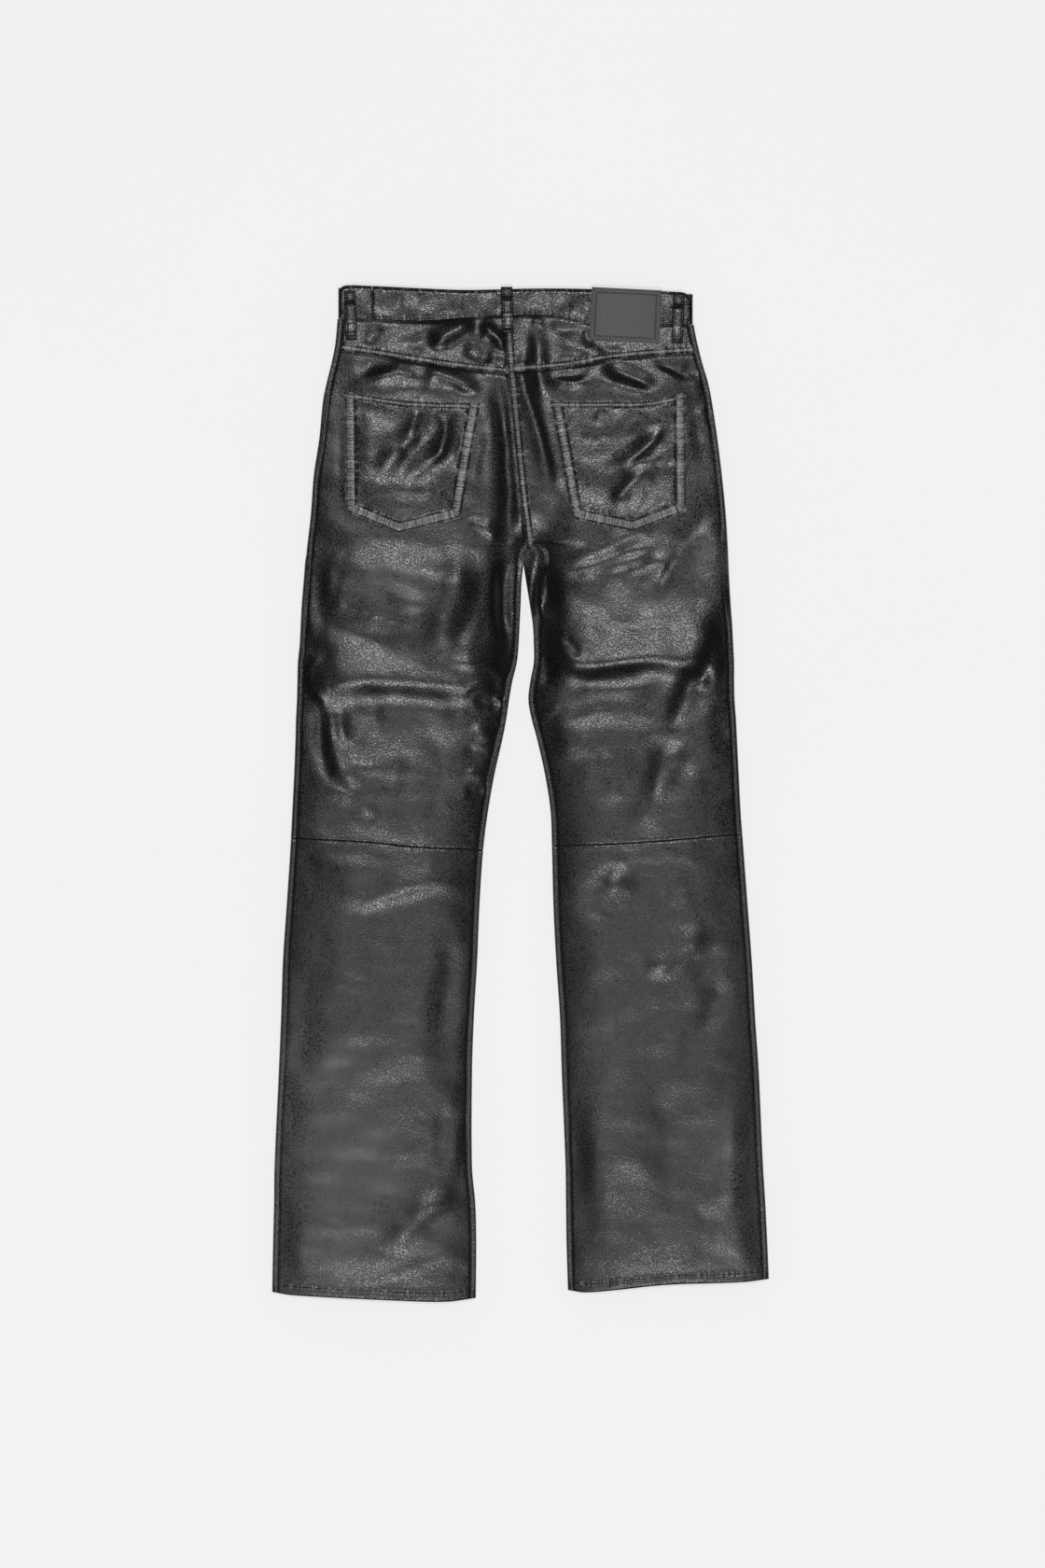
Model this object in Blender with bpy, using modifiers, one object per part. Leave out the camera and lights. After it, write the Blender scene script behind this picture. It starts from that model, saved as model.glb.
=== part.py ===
"""Five-pocket trousers in black leather, laid out flat with the back uppermost.

The frame is +Z up, +Y towards the waist and +X to the right when looked at from above, so the
wearer's left is at -X. The garment lies on z = 0 on its front panels, which roll up round the two
edges of each leg to the side seam and the inseam; the back panels lie on top between those seams.
Lengths below are millimetres; to_metres turns a point into Blender's metres.
"""

import math
from collections import namedtuple

import bmesh
import bpy

# ---------------------------------------------------------------- driving sizes, in millimetres
WALL = 1.4              # leather of the legs and yokes
BAND_WALL = 2.6         # waistband, two layers
POCKET_WALL = 1.2
LOOP_WALL = 2.2
LABEL_WALL = 1.8
FLY_WALL = 1.0
GAP = 0.3               # air between two pieces that meet
SEAM = 0.6              # air between two panels at a seam, measured across it

SEAT_ROWS = 36          # rows of facets down a back panel, from yoke to knee
SHIN_ROWS = 18
WAIST_ROWS = 8
CENTRE_SEAM = 0.8       # air at the centre front, where two rolled edges meet
STRIP = 6.5             # front panel that shows beside a seam, on top of the rolled edge
FRONT_LIFT = 3.4        # the fronts ride over the front belt loops at the waist
BAND_FLOOR = 3.0        # underside of the band, over the front belt loops
BAND_TOP = 9.8          # top of the band
LEFT_JOINT = -159.0     # seams across the band
RIGHT_JOINT = 133.0
BAND_EDGE = {-1: -195.5, 1: 184.5}      # where the band turns under, at each side
FRONT_BAND_HEIGHT = 33.0
CENTRE_FRONT_WAIST = -6.0
FRONT_WAIST = 495.0     # the band's seam at the centre front

LOOP_WIDTH = 12.5
LOOP_LENGTH = 52.0
LOOP_CLEARANCE = 4.5    # room for a belt under a loop
LOOP_FOOT = 0.15        # share of a loop's length that is sewn down at each end
LOOP_BAR_HEIGHT = 2.6   # front loops, pressed flat underneath

BUTTON_CENTRE = (-22.0, 512.0)
BUTTON_PROFILE = ((0.0, 2.6), (6.0, 2.6), (8.5, 1.8), (8.5, 0.8), (7.2, 0.0), (0.0, 0.0))

FLY_WIDTH = 38.0
FLY_TOP = 494.0
FLY_BOTTOM = 356.0

# ---------------------------------------------------------------- the cut, as it lies
TrunkRow = namedtuple("TrunkRow", "y left right")
TRUNK = (
    TrunkRow(544.5, -194.5, 180.5),
    TrunkRow(530.0, -195.0, 183.5),
    TrunkRow(500.5, -197.0, 186.0),
    TrunkRow(480.5, -199.0, 190.0),
    TrunkRow(460.5, -203.0, 195.0),
    TrunkRow(440.5, -208.0, 201.0),
    TrunkRow(420.5, -212.0, 205.0),
    TrunkRow(380.5, -216.0, 211.0),
    TrunkRow(340.5, -222.0, 216.0),
    TrunkRow(300.5, -225.0, 220.0),
    TrunkRow(260.5, -229.5, 222.5),
)

LegRow = namedtuple("LegRow", "y left_outer left_inner right_inner right_outer")
LEGS = (
    LegRow(244.5, -231.5, 2.8, 3.2, 223.0),
    LegRow(225.5, -233.0, 1.0, 6.0, 224.0),
    LegRow(200.5, -235.0, 0.0, 10.0, 225.5),
    LegRow(180.5, -236.0, -1.0, 13.0, 227.0),
    LegRow(160.5, -237.0, -2.0, 14.0, 228.0),
    LegRow(140.5, -239.0, -4.0, 14.0, 229.0),
    LegRow(120.5, -239.5, -8.8, 10.3, 229.0),
    LegRow(100.5, -240.0, -12.3, 8.2, 229.5),
    LegRow(80.5, -241.0, -15.2, 11.6, 231.0),
    LegRow(60.5, -241.5, -19.0, 17.0, 232.0),
    LegRow(20.5, -243.0, -28.0, 26.0, 234.0),
    LegRow(-19.5, -245.0, -35.0, 32.0, 236.0),
    LegRow(-59.5, -247.0, -40.0, 33.5, 239.0),
    LegRow(-119.5, -251.0, -44.0, 35.0, 243.5),
    LegRow(-179.5, -255.0, -46.5, 38.0, 248.0),
    LegRow(-239.5, -257.0, -50.0, 42.0, 251.5),
    LegRow(-299.5, -259.5, -52.0, 44.0, 255.5),
    LegRow(-399.5, -264.0, -52.0, 48.0, 260.0),
    LegRow(-439.5, -264.5, -48.5, 48.5, 262.5),
    LegRow(-479.5, -265.5, -47.5, 49.0, 264.5),
    LegRow(-544.5, -266.7, -48.0, 51.0, 267.2),
)
CROTCH_TIP = LEGS[0].y

# How far the front panel shows inside each inner edge, next to the inseam.
StripRow = namedtuple("StripRow", "y left right")
INNER_STRIP = (
    StripRow(272.0, 6.5, 6.5),
    StripRow(264.0, 6.5, 19.0),
    StripRow(258.0, 7.0, 24.0),
    StripRow(244.5, 7.0, 25.0),
    StripRow(225.5, 6.5, 19.0),
    StripRow(200.5, 6.5, 12.0),
    StripRow(170.0, 6.5, 6.5),
)

# Seams and edges that run across the garment: height y at each x.
SeamPoint = namedtuple("SeamPoint", "x y")
BAND_UPPER_EDGE = (
    SeamPoint(-194.5, 541.0), SeamPoint(-188.0, 544.5), SeamPoint(-165.0, 544.3),
    SeamPoint(-105.0, 541.5), SeamPoint(-58.0, 539.8), SeamPoint(12.0, 541.3),
    SeamPoint(67.0, 541.0), SeamPoint(162.0, 538.0), SeamPoint(176.0, 536.5), SeamPoint(183.5, 531.0),
)
BAND_SEAM = (
    SeamPoint(-197.0, 509.0), SeamPoint(-173.0, 508.5), SeamPoint(-108.0, 506.5),
    SeamPoint(-58.0, 509.5), SeamPoint(-23.0, 512.5), SeamPoint(33.0, 512.0),
    SeamPoint(73.0, 503.8), SeamPoint(112.0, 503.0), SeamPoint(186.0, 502.5),
)
YOKE_SEAM_LEFT = (
    SeamPoint(-197.0, 475.5), SeamPoint(-162.0, 470.5), SeamPoint(-113.0, 462.5),
    SeamPoint(-64.0, 455.5), SeamPoint(-10.0, 449.5),
)
YOKE_SEAM_RIGHT = (
    SeamPoint(-10.0, 451.5), SeamPoint(26.0, 454.5), SeamPoint(55.0, 457.5),
    SeamPoint(99.0, 465.5), SeamPoint(190.0, 472.8),
)
KNEE_SEAM_LEFT = (
    SeamPoint(-246.0, -47.0), SeamPoint(-158.0, -51.5), SeamPoint(-109.0, -56.5), SeamPoint(-38.0, -60.0),
)
KNEE_SEAM_RIGHT = (
    SeamPoint(32.0, -55.0), SeamPoint(102.0, -53.5), SeamPoint(236.0, -43.0),
)
HEM_LEFT = (
    SeamPoint(-266.5, -534.0), SeamPoint(-245.0, -537.5), SeamPoint(-129.0, -543.5),
    SeamPoint(-79.0, -544.5), SeamPoint(-48.0, -540.5),
)
HEM_RIGHT = (
    SeamPoint(51.0, -532.0), SeamPoint(68.0, -534.5), SeamPoint(97.0, -532.5),
    SeamPoint(155.0, -526.5), SeamPoint(238.0, -523.5), SeamPoint(266.5, -520.0),
)

# Seat seam at the centre back, from the band to the point where the inseams start.
CentrePoint = namedtuple("CentrePoint", "y x")
SEAT_SEAM = (
    CentrePoint(544.5, -18.0), CentrePoint(494.5, -15.8), CentrePoint(459.5, -13.8),
    CentrePoint(400.5, -8.3), CentrePoint(321.5, -0.3), CentrePoint(269.0, 7.0),
)
SEAT_END = SEAT_SEAM[-1]

# Heights above the floor along the garment: the underside of the fronts, the top of the rolled
# edges, and the level of the back panels between them.
LevelRow = namedtuple("LevelRow", "y roll rest")
LEVELS = (
    LevelRow(544.5, 9.4, 9.0),
    LevelRow(470.0, 9.4, 8.8),
    LevelRow(400.0, 9.6, 7.6),
    LevelRow(330.0, 9.2, 6.6),
    LevelRow(200.0, 8.6, 5.6),
    LevelRow(0.0, 8.2, 5.2),
    LevelRow(-300.0, 7.6, 5.0),
    LevelRow(-544.5, 6.8, 4.8),
)
FRONT_RAISED_FROM = 300.0
FRONT_RAISED_TO = 420.0
ROLL_SHOULDER = 9.0     # the back stays level with the roll this far in from the edge
ROLL_FALL = 30.0        # and then sinks to rest over this width
LOWEST_BACK = 3.6       # above the fronts' underside, so that the two layers never meet

# Largest folds of the back panels: height (negative for a trough), half width, then the way it runs.
Fold = namedtuple("Fold", "height width path")
FOLDS = (
    # yoke and seat, left half
    Fold(2.6, 13.0, ((-46.0, 506.0), (-70.0, 492.0), (-98.0, 478.0))),
    Fold(-2.0, 10.0, ((-60.0, 484.0), (-40.0, 470.0), (-28.0, 462.0))),
    Fold(2.2, 9.0, ((-44.0, 505.0), (-30.0, 490.0), (-16.0, 470.0))),
    Fold(2.0, 12.0, ((-168.0, 440.0), (-130.0, 452.0), (-100.0, 436.0))),
    Fold(2.0, 12.0, ((-112.0, 436.0), (-90.0, 450.0), (-40.0, 432.0))),
    Fold(3.4, 20.0, ((-40.0, 430.0), (-36.0, 380.0), (-42.0, 320.0), (-60.0, 280.0))),
    Fold(-3.6, 13.0, ((-26.0, 448.0), (-19.0, 410.0), (-14.0, 340.0), (-16.0, 290.0), (-30.0, 250.0))),
    Fold(-2.4, 13.0, ((-104.0, 420.0), (-112.0, 390.0), (-150.0, 345.0))),
    Fold(-2.2, 12.0, ((-84.0, 418.0), (-80.0, 385.0), (-90.0, 350.0))),
    # seat, right half
    Fold(3.4, 12.0, ((2.0, 500.0), (6.0, 450.0), (16.0, 405.0), (30.0, 350.0), (40.0, 290.0))),
    Fold(-4.0, 12.0, ((22.0, 500.0), (25.0, 440.0), (36.0, 370.0), (44.0, 300.0), (42.0, 250.0))),
    Fold(2.2, 12.0, ((32.0, 440.0), (80.0, 446.0), (130.0, 440.0), (180.0, 436.0))),
    Fold(-2.0, 10.0, ((84.0, 456.0), (120.0, 446.0), (150.0, 434.0))),
    Fold(-2.6, 12.0, ((156.0, 396.0), (128.0, 368.0), (100.0, 345.0))),
    Fold(-2.6, 12.0, ((150.0, 354.0), (122.0, 332.0), (96.0, 306.0))),
    Fold(-2.6, 13.0, ((204.0, 330.0), (180.0, 296.0), (150.0, 262.0), (70.0, 232.0))),
    # thighs
    Fold(2.6, 13.0, ((-34.0, 235.0), (-32.0, 200.0), (-50.0, 160.0))),
    Fold(-3.0, 13.0, ((-40.0, 240.0), (-55.0, 195.0), (-78.0, 150.0))),
    Fold(2.8, 9.0, ((-205.0, 145.0), (-120.0, 147.0), (-30.0, 142.0), (-18.0, 128.0))),
    Fold(2.8, 9.0, ((-200.0, 124.0), (-120.0, 123.0), (-40.0, 120.0))),
    Fold(-2.0, 16.0, ((-205.0, 104.0), (-120.0, 104.0), (-50.0, 106.0))),
    Fold(3.0, 14.0, ((34.0, 160.0), (60.0, 140.0), (110.0, 145.0), (176.0, 148.0))),
    Fold(-2.4, 14.0, ((40.0, 132.0), (100.0, 130.0), (160.0, 126.0))),
    Fold(-2.6, 14.0, ((200.0, 175.0), (182.0, 120.0), (150.0, 70.0))),
    Fold(-2.2, 12.0, ((-216.0, 90.0), (-214.0, 50.0), (-196.0, 20.0))),
    Fold(2.4, 14.0, ((-188.0, 40.0), (-180.0, 5.0), (-148.0, -28.0))),
    # shins
    Fold(2.4, 11.0, ((-202.0, -100.0), (-165.0, -116.0), (-100.0, -98.0), (-56.0, -88.0))),
    Fold(-2.0, 16.0, ((-70.0, -150.0), (-84.0, -230.0), (-88.0, -290.0))),
    Fold(2.4, 14.0, ((-60.0, -300.0), (-66.0, -360.0), (-74.0, -420.0))),
    Fold(2.6, 14.0, ((-62.0, -424.0), (-110.0, -452.0), (-148.0, -492.0))),
    Fold(2.4, 15.0, ((204.0, -140.0), (160.0, -172.0), (130.0, -200.0))),
    Fold(-2.2, 16.0, ((112.0, -75.0), (84.0, -118.0), (70.0, -150.0))),
    Fold(-2.0, 16.0, ((225.0, -190.0), (190.0, -260.0), (170.0, -310.0))),
    Fold(2.2, 18.0, ((228.0, -310.0), (228.0, -400.0), (222.0, -470.0))),
)

# Back pockets and label: corners in turn, clockwise from the upper left.
POCKET_LEFT = ((-189.0, 432.5), (-43.0, 419.5), (-64.0, 295.5), (-131.0, 278.5), (-189.0, 303.5))
POCKET_RIGHT = ((31.0, 421.5), (177.0, 431.5), (178.0, 302.5), (121.0, 280.5), (55.0, 294.5))
LABEL_CENTRE = (112.5, 512.5)
LABEL_SIZE = (75.0, 57.0)
LABEL_TILT = -2.8       # degrees
LABEL_BORDER = 4.0
LABEL_SINK = 0.5        # the field lies this much below the border

LoopPlace = namedtuple("LoopPlace", "name top_x top_y bottom_x bottom_y")
BACK_LOOPS = (
    LoopPlace("belt_loop_side_left", -183.0, 539.0, -181.5, 486.5),
    LoopPlace("belt_loop_back", -15.0, 543.0, -13.5, 493.5),
    LoopPlace("belt_loop_side_right", 169.5, 535.5, 167.5, 482.5),
)
FrontLoop = namedtuple("FrontLoop", "name x y")
FRONT_LOOPS = (
    FrontLoop("belt_loop_front_left", -104.0, 506.0),
    FrontLoop("belt_loop_front_right", 92.0, 504.0),
)


# ---------------------------------------------------------------- lines and levels
def through(rows, place, value):
    """A function that runs smoothly through one named column of a table, against another."""
    knots = sorted((getattr(row, place), getattr(row, value)) for row in rows)
    slopes = []
    for index in range(len(knots)):
        before = knots[max(index - 1, 0)]
        after = knots[min(index + 1, len(knots) - 1)]
        slopes.append((after[1] - before[1]) / (after[0] - before[0]))

    def value_at(where):
        where = min(max(where, knots[0][0]), knots[-1][0])
        index = 0
        while index < len(knots) - 2 and where > knots[index + 1][0]:
            index += 1
        (start, low), (end, high) = knots[index], knots[index + 1]
        span = end - start
        t = (where - start) / span
        return (low * (1 + 2 * t) * (1 - t) ** 2 + slopes[index] * span * t * (1 - t) ** 2
                + high * t * t * (3 - 2 * t) - slopes[index + 1] * span * t * t * (1 - t))

    return value_at


def ease(value):
    """0 to 1 with a soft start and end."""
    value = min(max(value, 0.0), 1.0)
    return value * value * (3.0 - 2.0 * value)


trunk_left = through(TRUNK, "y", "left")
trunk_right = through(TRUNK, "y", "right")
leg_left_outer = through(LEGS, "y", "left_outer")
leg_left_inner = through(LEGS, "y", "left_inner")
leg_right_inner = through(LEGS, "y", "right_inner")
leg_right_outer = through(LEGS, "y", "right_outer")
strip_left = through(INNER_STRIP, "y", "left")
strip_right = through(INNER_STRIP, "y", "right")
seat_seam = through(SEAT_SEAM, "y", "x")
roll_level = through(LEVELS, "y", "roll")
rest_level = through(LEVELS, "y", "rest")
band_upper_edge = through(BAND_UPPER_EDGE, "x", "y")
band_seam = through(BAND_SEAM, "x", "y")
yoke_seam = {-1: through(YOKE_SEAM_LEFT, "x", "y"), 1: through(YOKE_SEAM_RIGHT, "x", "y")}
knee_seam = {-1: through(KNEE_SEAM_LEFT, "x", "y"), 1: through(KNEE_SEAM_RIGHT, "x", "y")}
hem_edge = {-1: through(HEM_LEFT, "x", "y"), 1: through(HEM_RIGHT, "x", "y")}


def outer_edge(side, y):
    """The edge of the garment: side is -1 for the left half and 1 for the right."""
    trunk, leg = (trunk_left, leg_left_outer) if side < 0 else (trunk_right, leg_right_outer)
    mix = ease((TRUNK[-1].y - y) / (TRUNK[-1].y - CROTCH_TIP))
    return trunk(y) * (1 - mix) + leg(y) * mix


def centre_front(y):
    """The centre-front seam, on the floor from the crotch to the waist."""
    share = (y - CROTCH_TIP) / (SEAT_END.y - CROTCH_TIP)
    if share <= 1:
        return LEGS[0].right_inner + (SEAT_END.x - LEGS[0].right_inner) * share
    share = (y - SEAT_END.y) / (TRUNK[0].y - SEAT_END.y)
    return SEAT_END.x + (CENTRE_FRONT_WAIST - SEAT_END.x) * share


def inner_edge(side, y):
    """The inner edge of a leg, and the centre-front seam above the crotch."""
    if y >= CROTCH_TIP:
        return centre_front(y) + side * CENTRE_SEAM / 2
    return leg_left_inner(y) if side < 0 else leg_right_inner(y)


def inner_strip(side, y):
    return strip_left(y) if side < 0 else strip_right(y)


def front_level(y):
    """Height of the fronts' underside."""
    return FRONT_LIFT * ease((y - FRONT_RAISED_FROM) / (FRONT_RAISED_TO - FRONT_RAISED_FROM))


def fold_lift(x, y):
    """Sum of the folds at a place."""
    total = 0.0
    for fold in FOLDS:
        nearest = (1e9, 0.0)
        pieces = len(fold.path) - 1
        for index in range(pieces):
            (ax, ay), (bx, by) = fold.path[index], fold.path[index + 1]
            dx, dy = bx - ax, by - ay
            t = ((x - ax) * dx + (y - ay) * dy) / (dx * dx + dy * dy)
            t = min(max(t, 0.0), 1.0)
            away = math.hypot(x - ax - t * dx, y - ay - t * dy)
            nearest = min(nearest, (away, (index + t) / pieces))
        away, along = nearest
        if away < 3 * fold.width:
            fade = ease(min(along, 1 - along) * 3.5)
            total += fold.height * fade * math.exp(-(away / fold.width) ** 2)
    return total


def back_level(side, x, y):
    """Height of the back panels' outer face."""
    roll = roll_level(y)
    rest = rest_level(y)
    from_outer = (x - outer_edge(side, y)) * -side
    reach = ease((from_outer - ROLL_SHOULDER) / ROLL_FALL)
    if y < SEAT_END.y:
        from_inner = (x - inner_edge(side, y)) * side - (inner_strip(side, y) - STRIP)
    else:
        from_inner = math.hypot(x - SEAT_END.x, y - SEAT_END.y)
    reach = min(reach, ease((from_inner - ROLL_SHOULDER) / ROLL_FALL))
    level = roll + (rest - roll) * reach + fold_lift(x, y) * reach
    return max(level, front_level(y) + LOWEST_BACK)


# ---------------------------------------------------------------- making pieces
def to_metres(x, y, z):
    return (x / 1000.0, y / 1000.0, z / 1000.0)


def leather(name, colour, roughness, metallic=0.0):
    material = bpy.data.materials.new(name)
    material.use_nodes = True
    shader = material.node_tree.nodes["Principled BSDF"]
    shader.inputs["Base Color"].default_value = (*colour, 1.0)
    shader.inputs["Roughness"].default_value = roughness
    shader.inputs["Metallic"].default_value = metallic
    return material


def new_object(name, mesh_source, collection, material):
    """An object made from a bmesh, which is freed."""
    mesh = bpy.data.meshes.new(name)
    mesh_source.to_mesh(mesh)
    mesh_source.free()
    piece = bpy.data.objects.new(name, mesh)
    piece.data.materials.append(material)
    collection.objects.link(piece)
    return piece


def sheet(columns, rows, place):
    """A grid of triangles whose corner (column, row) stands where place(column, row) says."""
    form = bmesh.new()
    bmesh.ops.create_grid(form, x_segments=columns, y_segments=rows, size=0.5)
    for corner in form.verts:
        column = round((corner.co.x + 0.5) * columns)
        row = round((corner.co.y + 0.5) * rows)
        corner.co = to_metres(*place(column, row))
    bmesh.ops.triangulate(form, faces=form.faces[:], quad_method="SHORT_EDGE")
    return form


def give_wall(piece, wall, outward=False, even=True):
    """Thickness with Solidify: inwards from the outer face, or outwards from the inner face.

    A panel with tight turns isn't evened out, which would drive its inner face through itself.
    """
    solid = piece.modifiers.new("wall", "SOLIDIFY")
    solid.thickness = wall / 1000.0
    solid.offset = 1.0 if outward else -1.0
    solid.use_even_offset = even
    solid.use_quality_normals = True
    return piece


def spread(start, end, share):
    return start + (end - start) * share


# ---------------------------------------------------------------- back panels
def back_panel_sheet(side, columns, rows, upper, lower, inner):
    """A back panel's outer face, from the side seam to the inner seam and from one cross seam to another.

    upper and lower give y at each x, inner gives x at each y.
    """
    def place(column, row):
        across = column / columns
        along = row / rows
        x = outer_edge(side, upper(0.0)) - side * (STRIP + across * 160.0)
        for _ in range(4):
            y = spread(lower(x) + SEAM / 2, upper(x) - SEAM / 2, along)
            seam_x = outer_edge(side, y) - side * (STRIP + SEAM / 2)
            left, right = (seam_x, inner(y)) if side < 0 else (inner(y), seam_x)
            x = spread(left, right, across)
        return x, y, back_level(side, x, y)

    return sheet(columns, rows, place)


def inner_back_edge(side):
    """x of a back panel's inner seam: the seat seam, and below its end the inseam."""
    def edge(y):
        if y >= SEAT_END.y:
            return seat_seam(y) + side * SEAM / 2
        return inner_edge(side, y) + side * (inner_strip(side, y) + SEAM / 2)
    return edge


# ---------------------------------------------------------------- front panels
ROLL_STEPS = 4          # facets round a rolled edge
FLAT_STEPS = 3          # facets across the flat of a front panel
TUCK_STEP = 3.5         # spacing of the inner columns where the panel has no rolled inner edge


def rolled_edge(edge, towards, strip, low, high):
    """Points (x, z) from the flat underside, round an edge, to the seam on top."""
    radius = (high - low) / 2
    points = []
    for step in range(ROLL_STEPS + 1):
        angle = math.pi * step / ROLL_STEPS
        points.append((edge + towards * (radius - radius * math.sin(angle)),
                       low + radius - radius * math.cos(angle)))
    points.append((edge + towards * (strip - SEAM / 2), high))
    return points


def flat_edge(edge, towards, low):
    """As many points as rolled_edge has, lying flat up to the edge."""
    count = ROLL_STEPS + 2
    return [(edge + towards * TUCK_STEP * (count - 1 - step), low) for step in range(count)]


TuckRow = namedtuple("TuckRow", "y fold run")
# Above the crotch the fronts' inner edge unrolls: fold is the share of the roll that is left, and
# run the share of the strip on top.
TUCK = (
    TuckRow(300.0, 0.0, 0.0),
    TuckRow(290.0, 0.05, 0.0),
    TuckRow(278.0, 0.45, 0.0),
    TuckRow(271.5, 0.72, 0.25),
    TuckRow(266.0, 0.78, 1.0),
    TuckRow(256.0, 0.88, 1.0),
    TuckRow(CROTCH_TIP, 1.0, 1.0),
)


def straight(rows, place, value):
    """Like through, with straight stretches."""
    knots = sorted((getattr(row, place), getattr(row, value)) for row in rows)

    def value_at(where):
        if where <= knots[0][0]:
            return knots[0][1]
        for (start, low), (end, high) in zip(knots, knots[1:]):
            if where <= end:
                return spread(low, high, (where - start) / (end - start))
        return knots[-1][1]

    return value_at


tuck_fold = straight(TUCK, "y", "fold")
tuck_run = straight(TUCK, "y", "run")


def inner_roll(side, y):
    """Points of a front panel's inner edge, from the flat underside to the seam on top."""
    edge = inner_edge(side, y)
    low = front_level(y)
    high = roll_level(y)
    strip = spread(STRIP, inner_strip(side, y), tuck_run(y))
    rolled = rolled_edge(edge, side, strip, low, high)
    flat = flat_edge(edge, side, low)
    share = tuck_fold(y)
    return [(spread(fx, rx, share), spread(fz, rz, share)) for (rx, rz), (fx, fz) in zip(rolled, flat)]


def front_contour(side, y):
    """The front panel's outer face at one height, as points (x, z) from the inseam to the side seam."""
    inner = inner_roll(side, y)[::-1]
    outer = rolled_edge(outer_edge(side, y), -side, STRIP, front_level(y), roll_level(y))
    inner_flat, outer_flat = inner[-1], outer[0]
    flat = [(spread(inner_flat[0], outer_flat[0], step / FLAT_STEPS), front_level(y))
            for step in range(1, FLAT_STEPS)]
    return inner + flat + outer


def front_panel_sheet(side, rows, upper, lower):
    """rows are shares of the way from the lower to the upper edge, which give y at each (side, x, z)."""
    columns = 2 * (ROLL_STEPS + 1) + FLAT_STEPS

    def place(column, row):
        index = column if side < 0 else columns - column
        y = spread(lower(side, 0.0, 0.0), upper(side, 0.0, 0.0), rows[row])
        for _ in range(4):
            x, z = front_contour(side, y)[index]
            y = spread(lower(side, x, z) + SEAM / 2, upper(side, x, z) - SEAM / 2, rows[row])
        return x, y, z

    return sheet(columns, len(rows) - 1, place)


def waist_seam(side, x, z):
    """The band's lower edge: the seam on top, and underneath a straight dip towards the centre front."""
    edge = BAND_EDGE[side]
    share = (x - CENTRE_FRONT_WAIST) / (edge - CENTRE_FRONT_WAIST)
    under = spread(FRONT_WAIST, band_seam(edge), min(max(share, 0.0), 1.0))
    level = (z - BAND_FLOOR) / (BAND_TOP - BAND_FLOOR)
    return spread(under, band_seam(x), ease(level * 1.1))


def knee_edge(side, x, z):
    return knee_seam[side](x)


def hem(side, x, z):
    return hem_edge[side](x)


# ---------------------------------------------------------------- waistband
def band_end_sheet(side, joint):
    """The band from its joint at the back, round the side, to the centre front underneath."""
    edge = BAND_EDGE[side]
    radius = (BAND_TOP - BAND_FLOOR) / 2
    start = joint + side * SEAM / 2
    turn = edge - side * (radius + 2.5)
    centre = CENTRE_FRONT_WAIST + side * SEAM / 2
    contour = [(start, BAND_TOP), (spread(start, turn, 0.5), BAND_TOP)]
    contour += [(turn, BAND_TOP)]
    rolled = rolled_edge(edge, -side, radius + 2.5, BAND_FLOOR, BAND_TOP)[:-1]
    contour += rolled[::-1]
    contour += [(spread(edge - side * radius, centre, step / 5), BAND_FLOOR) for step in range(1, 6)]
    columns = len(contour) - 1
    rows = 2

    def place(column, row):
        index = column if side > 0 else columns - column
        x, z = contour[index]
        bottom = waist_seam(side, x, z) + SEAM / 2
        level = ease((z - BAND_FLOOR) / (BAND_TOP - BAND_FLOOR))
        top = spread(bottom + FRONT_BAND_HEIGHT, band_upper_edge(x), level)
        return x, spread(bottom, top, row / rows), z

    return sheet(columns, rows, place)


def band_back_sheet():
    columns, rows = 18, 2

    def place(column, row):
        x = spread(LEFT_JOINT + SEAM / 2, RIGHT_JOINT - SEAM / 2, column / columns)
        return x, spread(band_seam(x) + SEAM / 2, band_upper_edge(x), row / rows), BAND_TOP

    return sheet(columns, rows, place)


# ---------------------------------------------------------------- pieces that lie on a panel
def cut_from(panel, corners):
    """A piece with straight sides, cut from a copy of the panel's own triangles and moved out by GAP."""
    form = panel.copy()
    for (ax, ay), (bx, by) in zip(corners, corners[1:] + corners[:1]):
        outwards = (-(by - ay), bx - ax, 0.0)
        bmesh.ops.bisect_plane(form, geom=form.verts[:] + form.edges[:] + form.faces[:], dist=1e-7,
                               plane_co=to_metres(ax, ay, 0.0), plane_no=outwards, clear_outer=True)
    bmesh.ops.triangulate(form, faces=form.faces[:])
    bmesh.ops.translate(form, verts=form.verts[:], vec=to_metres(0.0, 0.0, GAP))
    return form


def surface_level(x, y):
    """Height of whatever lies uppermost under a belt loop or the label."""
    if y >= band_seam(x) - 1.0:
        return BAND_TOP
    side = -1 if x < seat_seam(y) else 1
    return back_level(side, x, y)


def loop_sheet(loop):
    """A belt loop's inner face: sewn down at both ends and standing clear of the band between them."""
    columns, rows = 2, 12

    def place(column, row):
        along = row / rows
        sideways = (column / columns - 0.5) * LOOP_WIDTH
        middle = spread(loop.bottom_x, loop.top_x, along)
        y = spread(loop.bottom_y, loop.top_y, along)
        under = max(surface_level(middle + reach * LOOP_WIDTH / 2, y + near)
                    for reach in (-1.2, -0.6, 0, 0.6, 1.2) for near in (-8.0, -4.0, 0.0, 4.0))
        rise = ease((min(along, 1 - along) - LOOP_FOOT) / 0.14)
        return middle + sideways, y, under + GAP + LOOP_CLEARANCE * rise

    return sheet(columns, rows, place)


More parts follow.
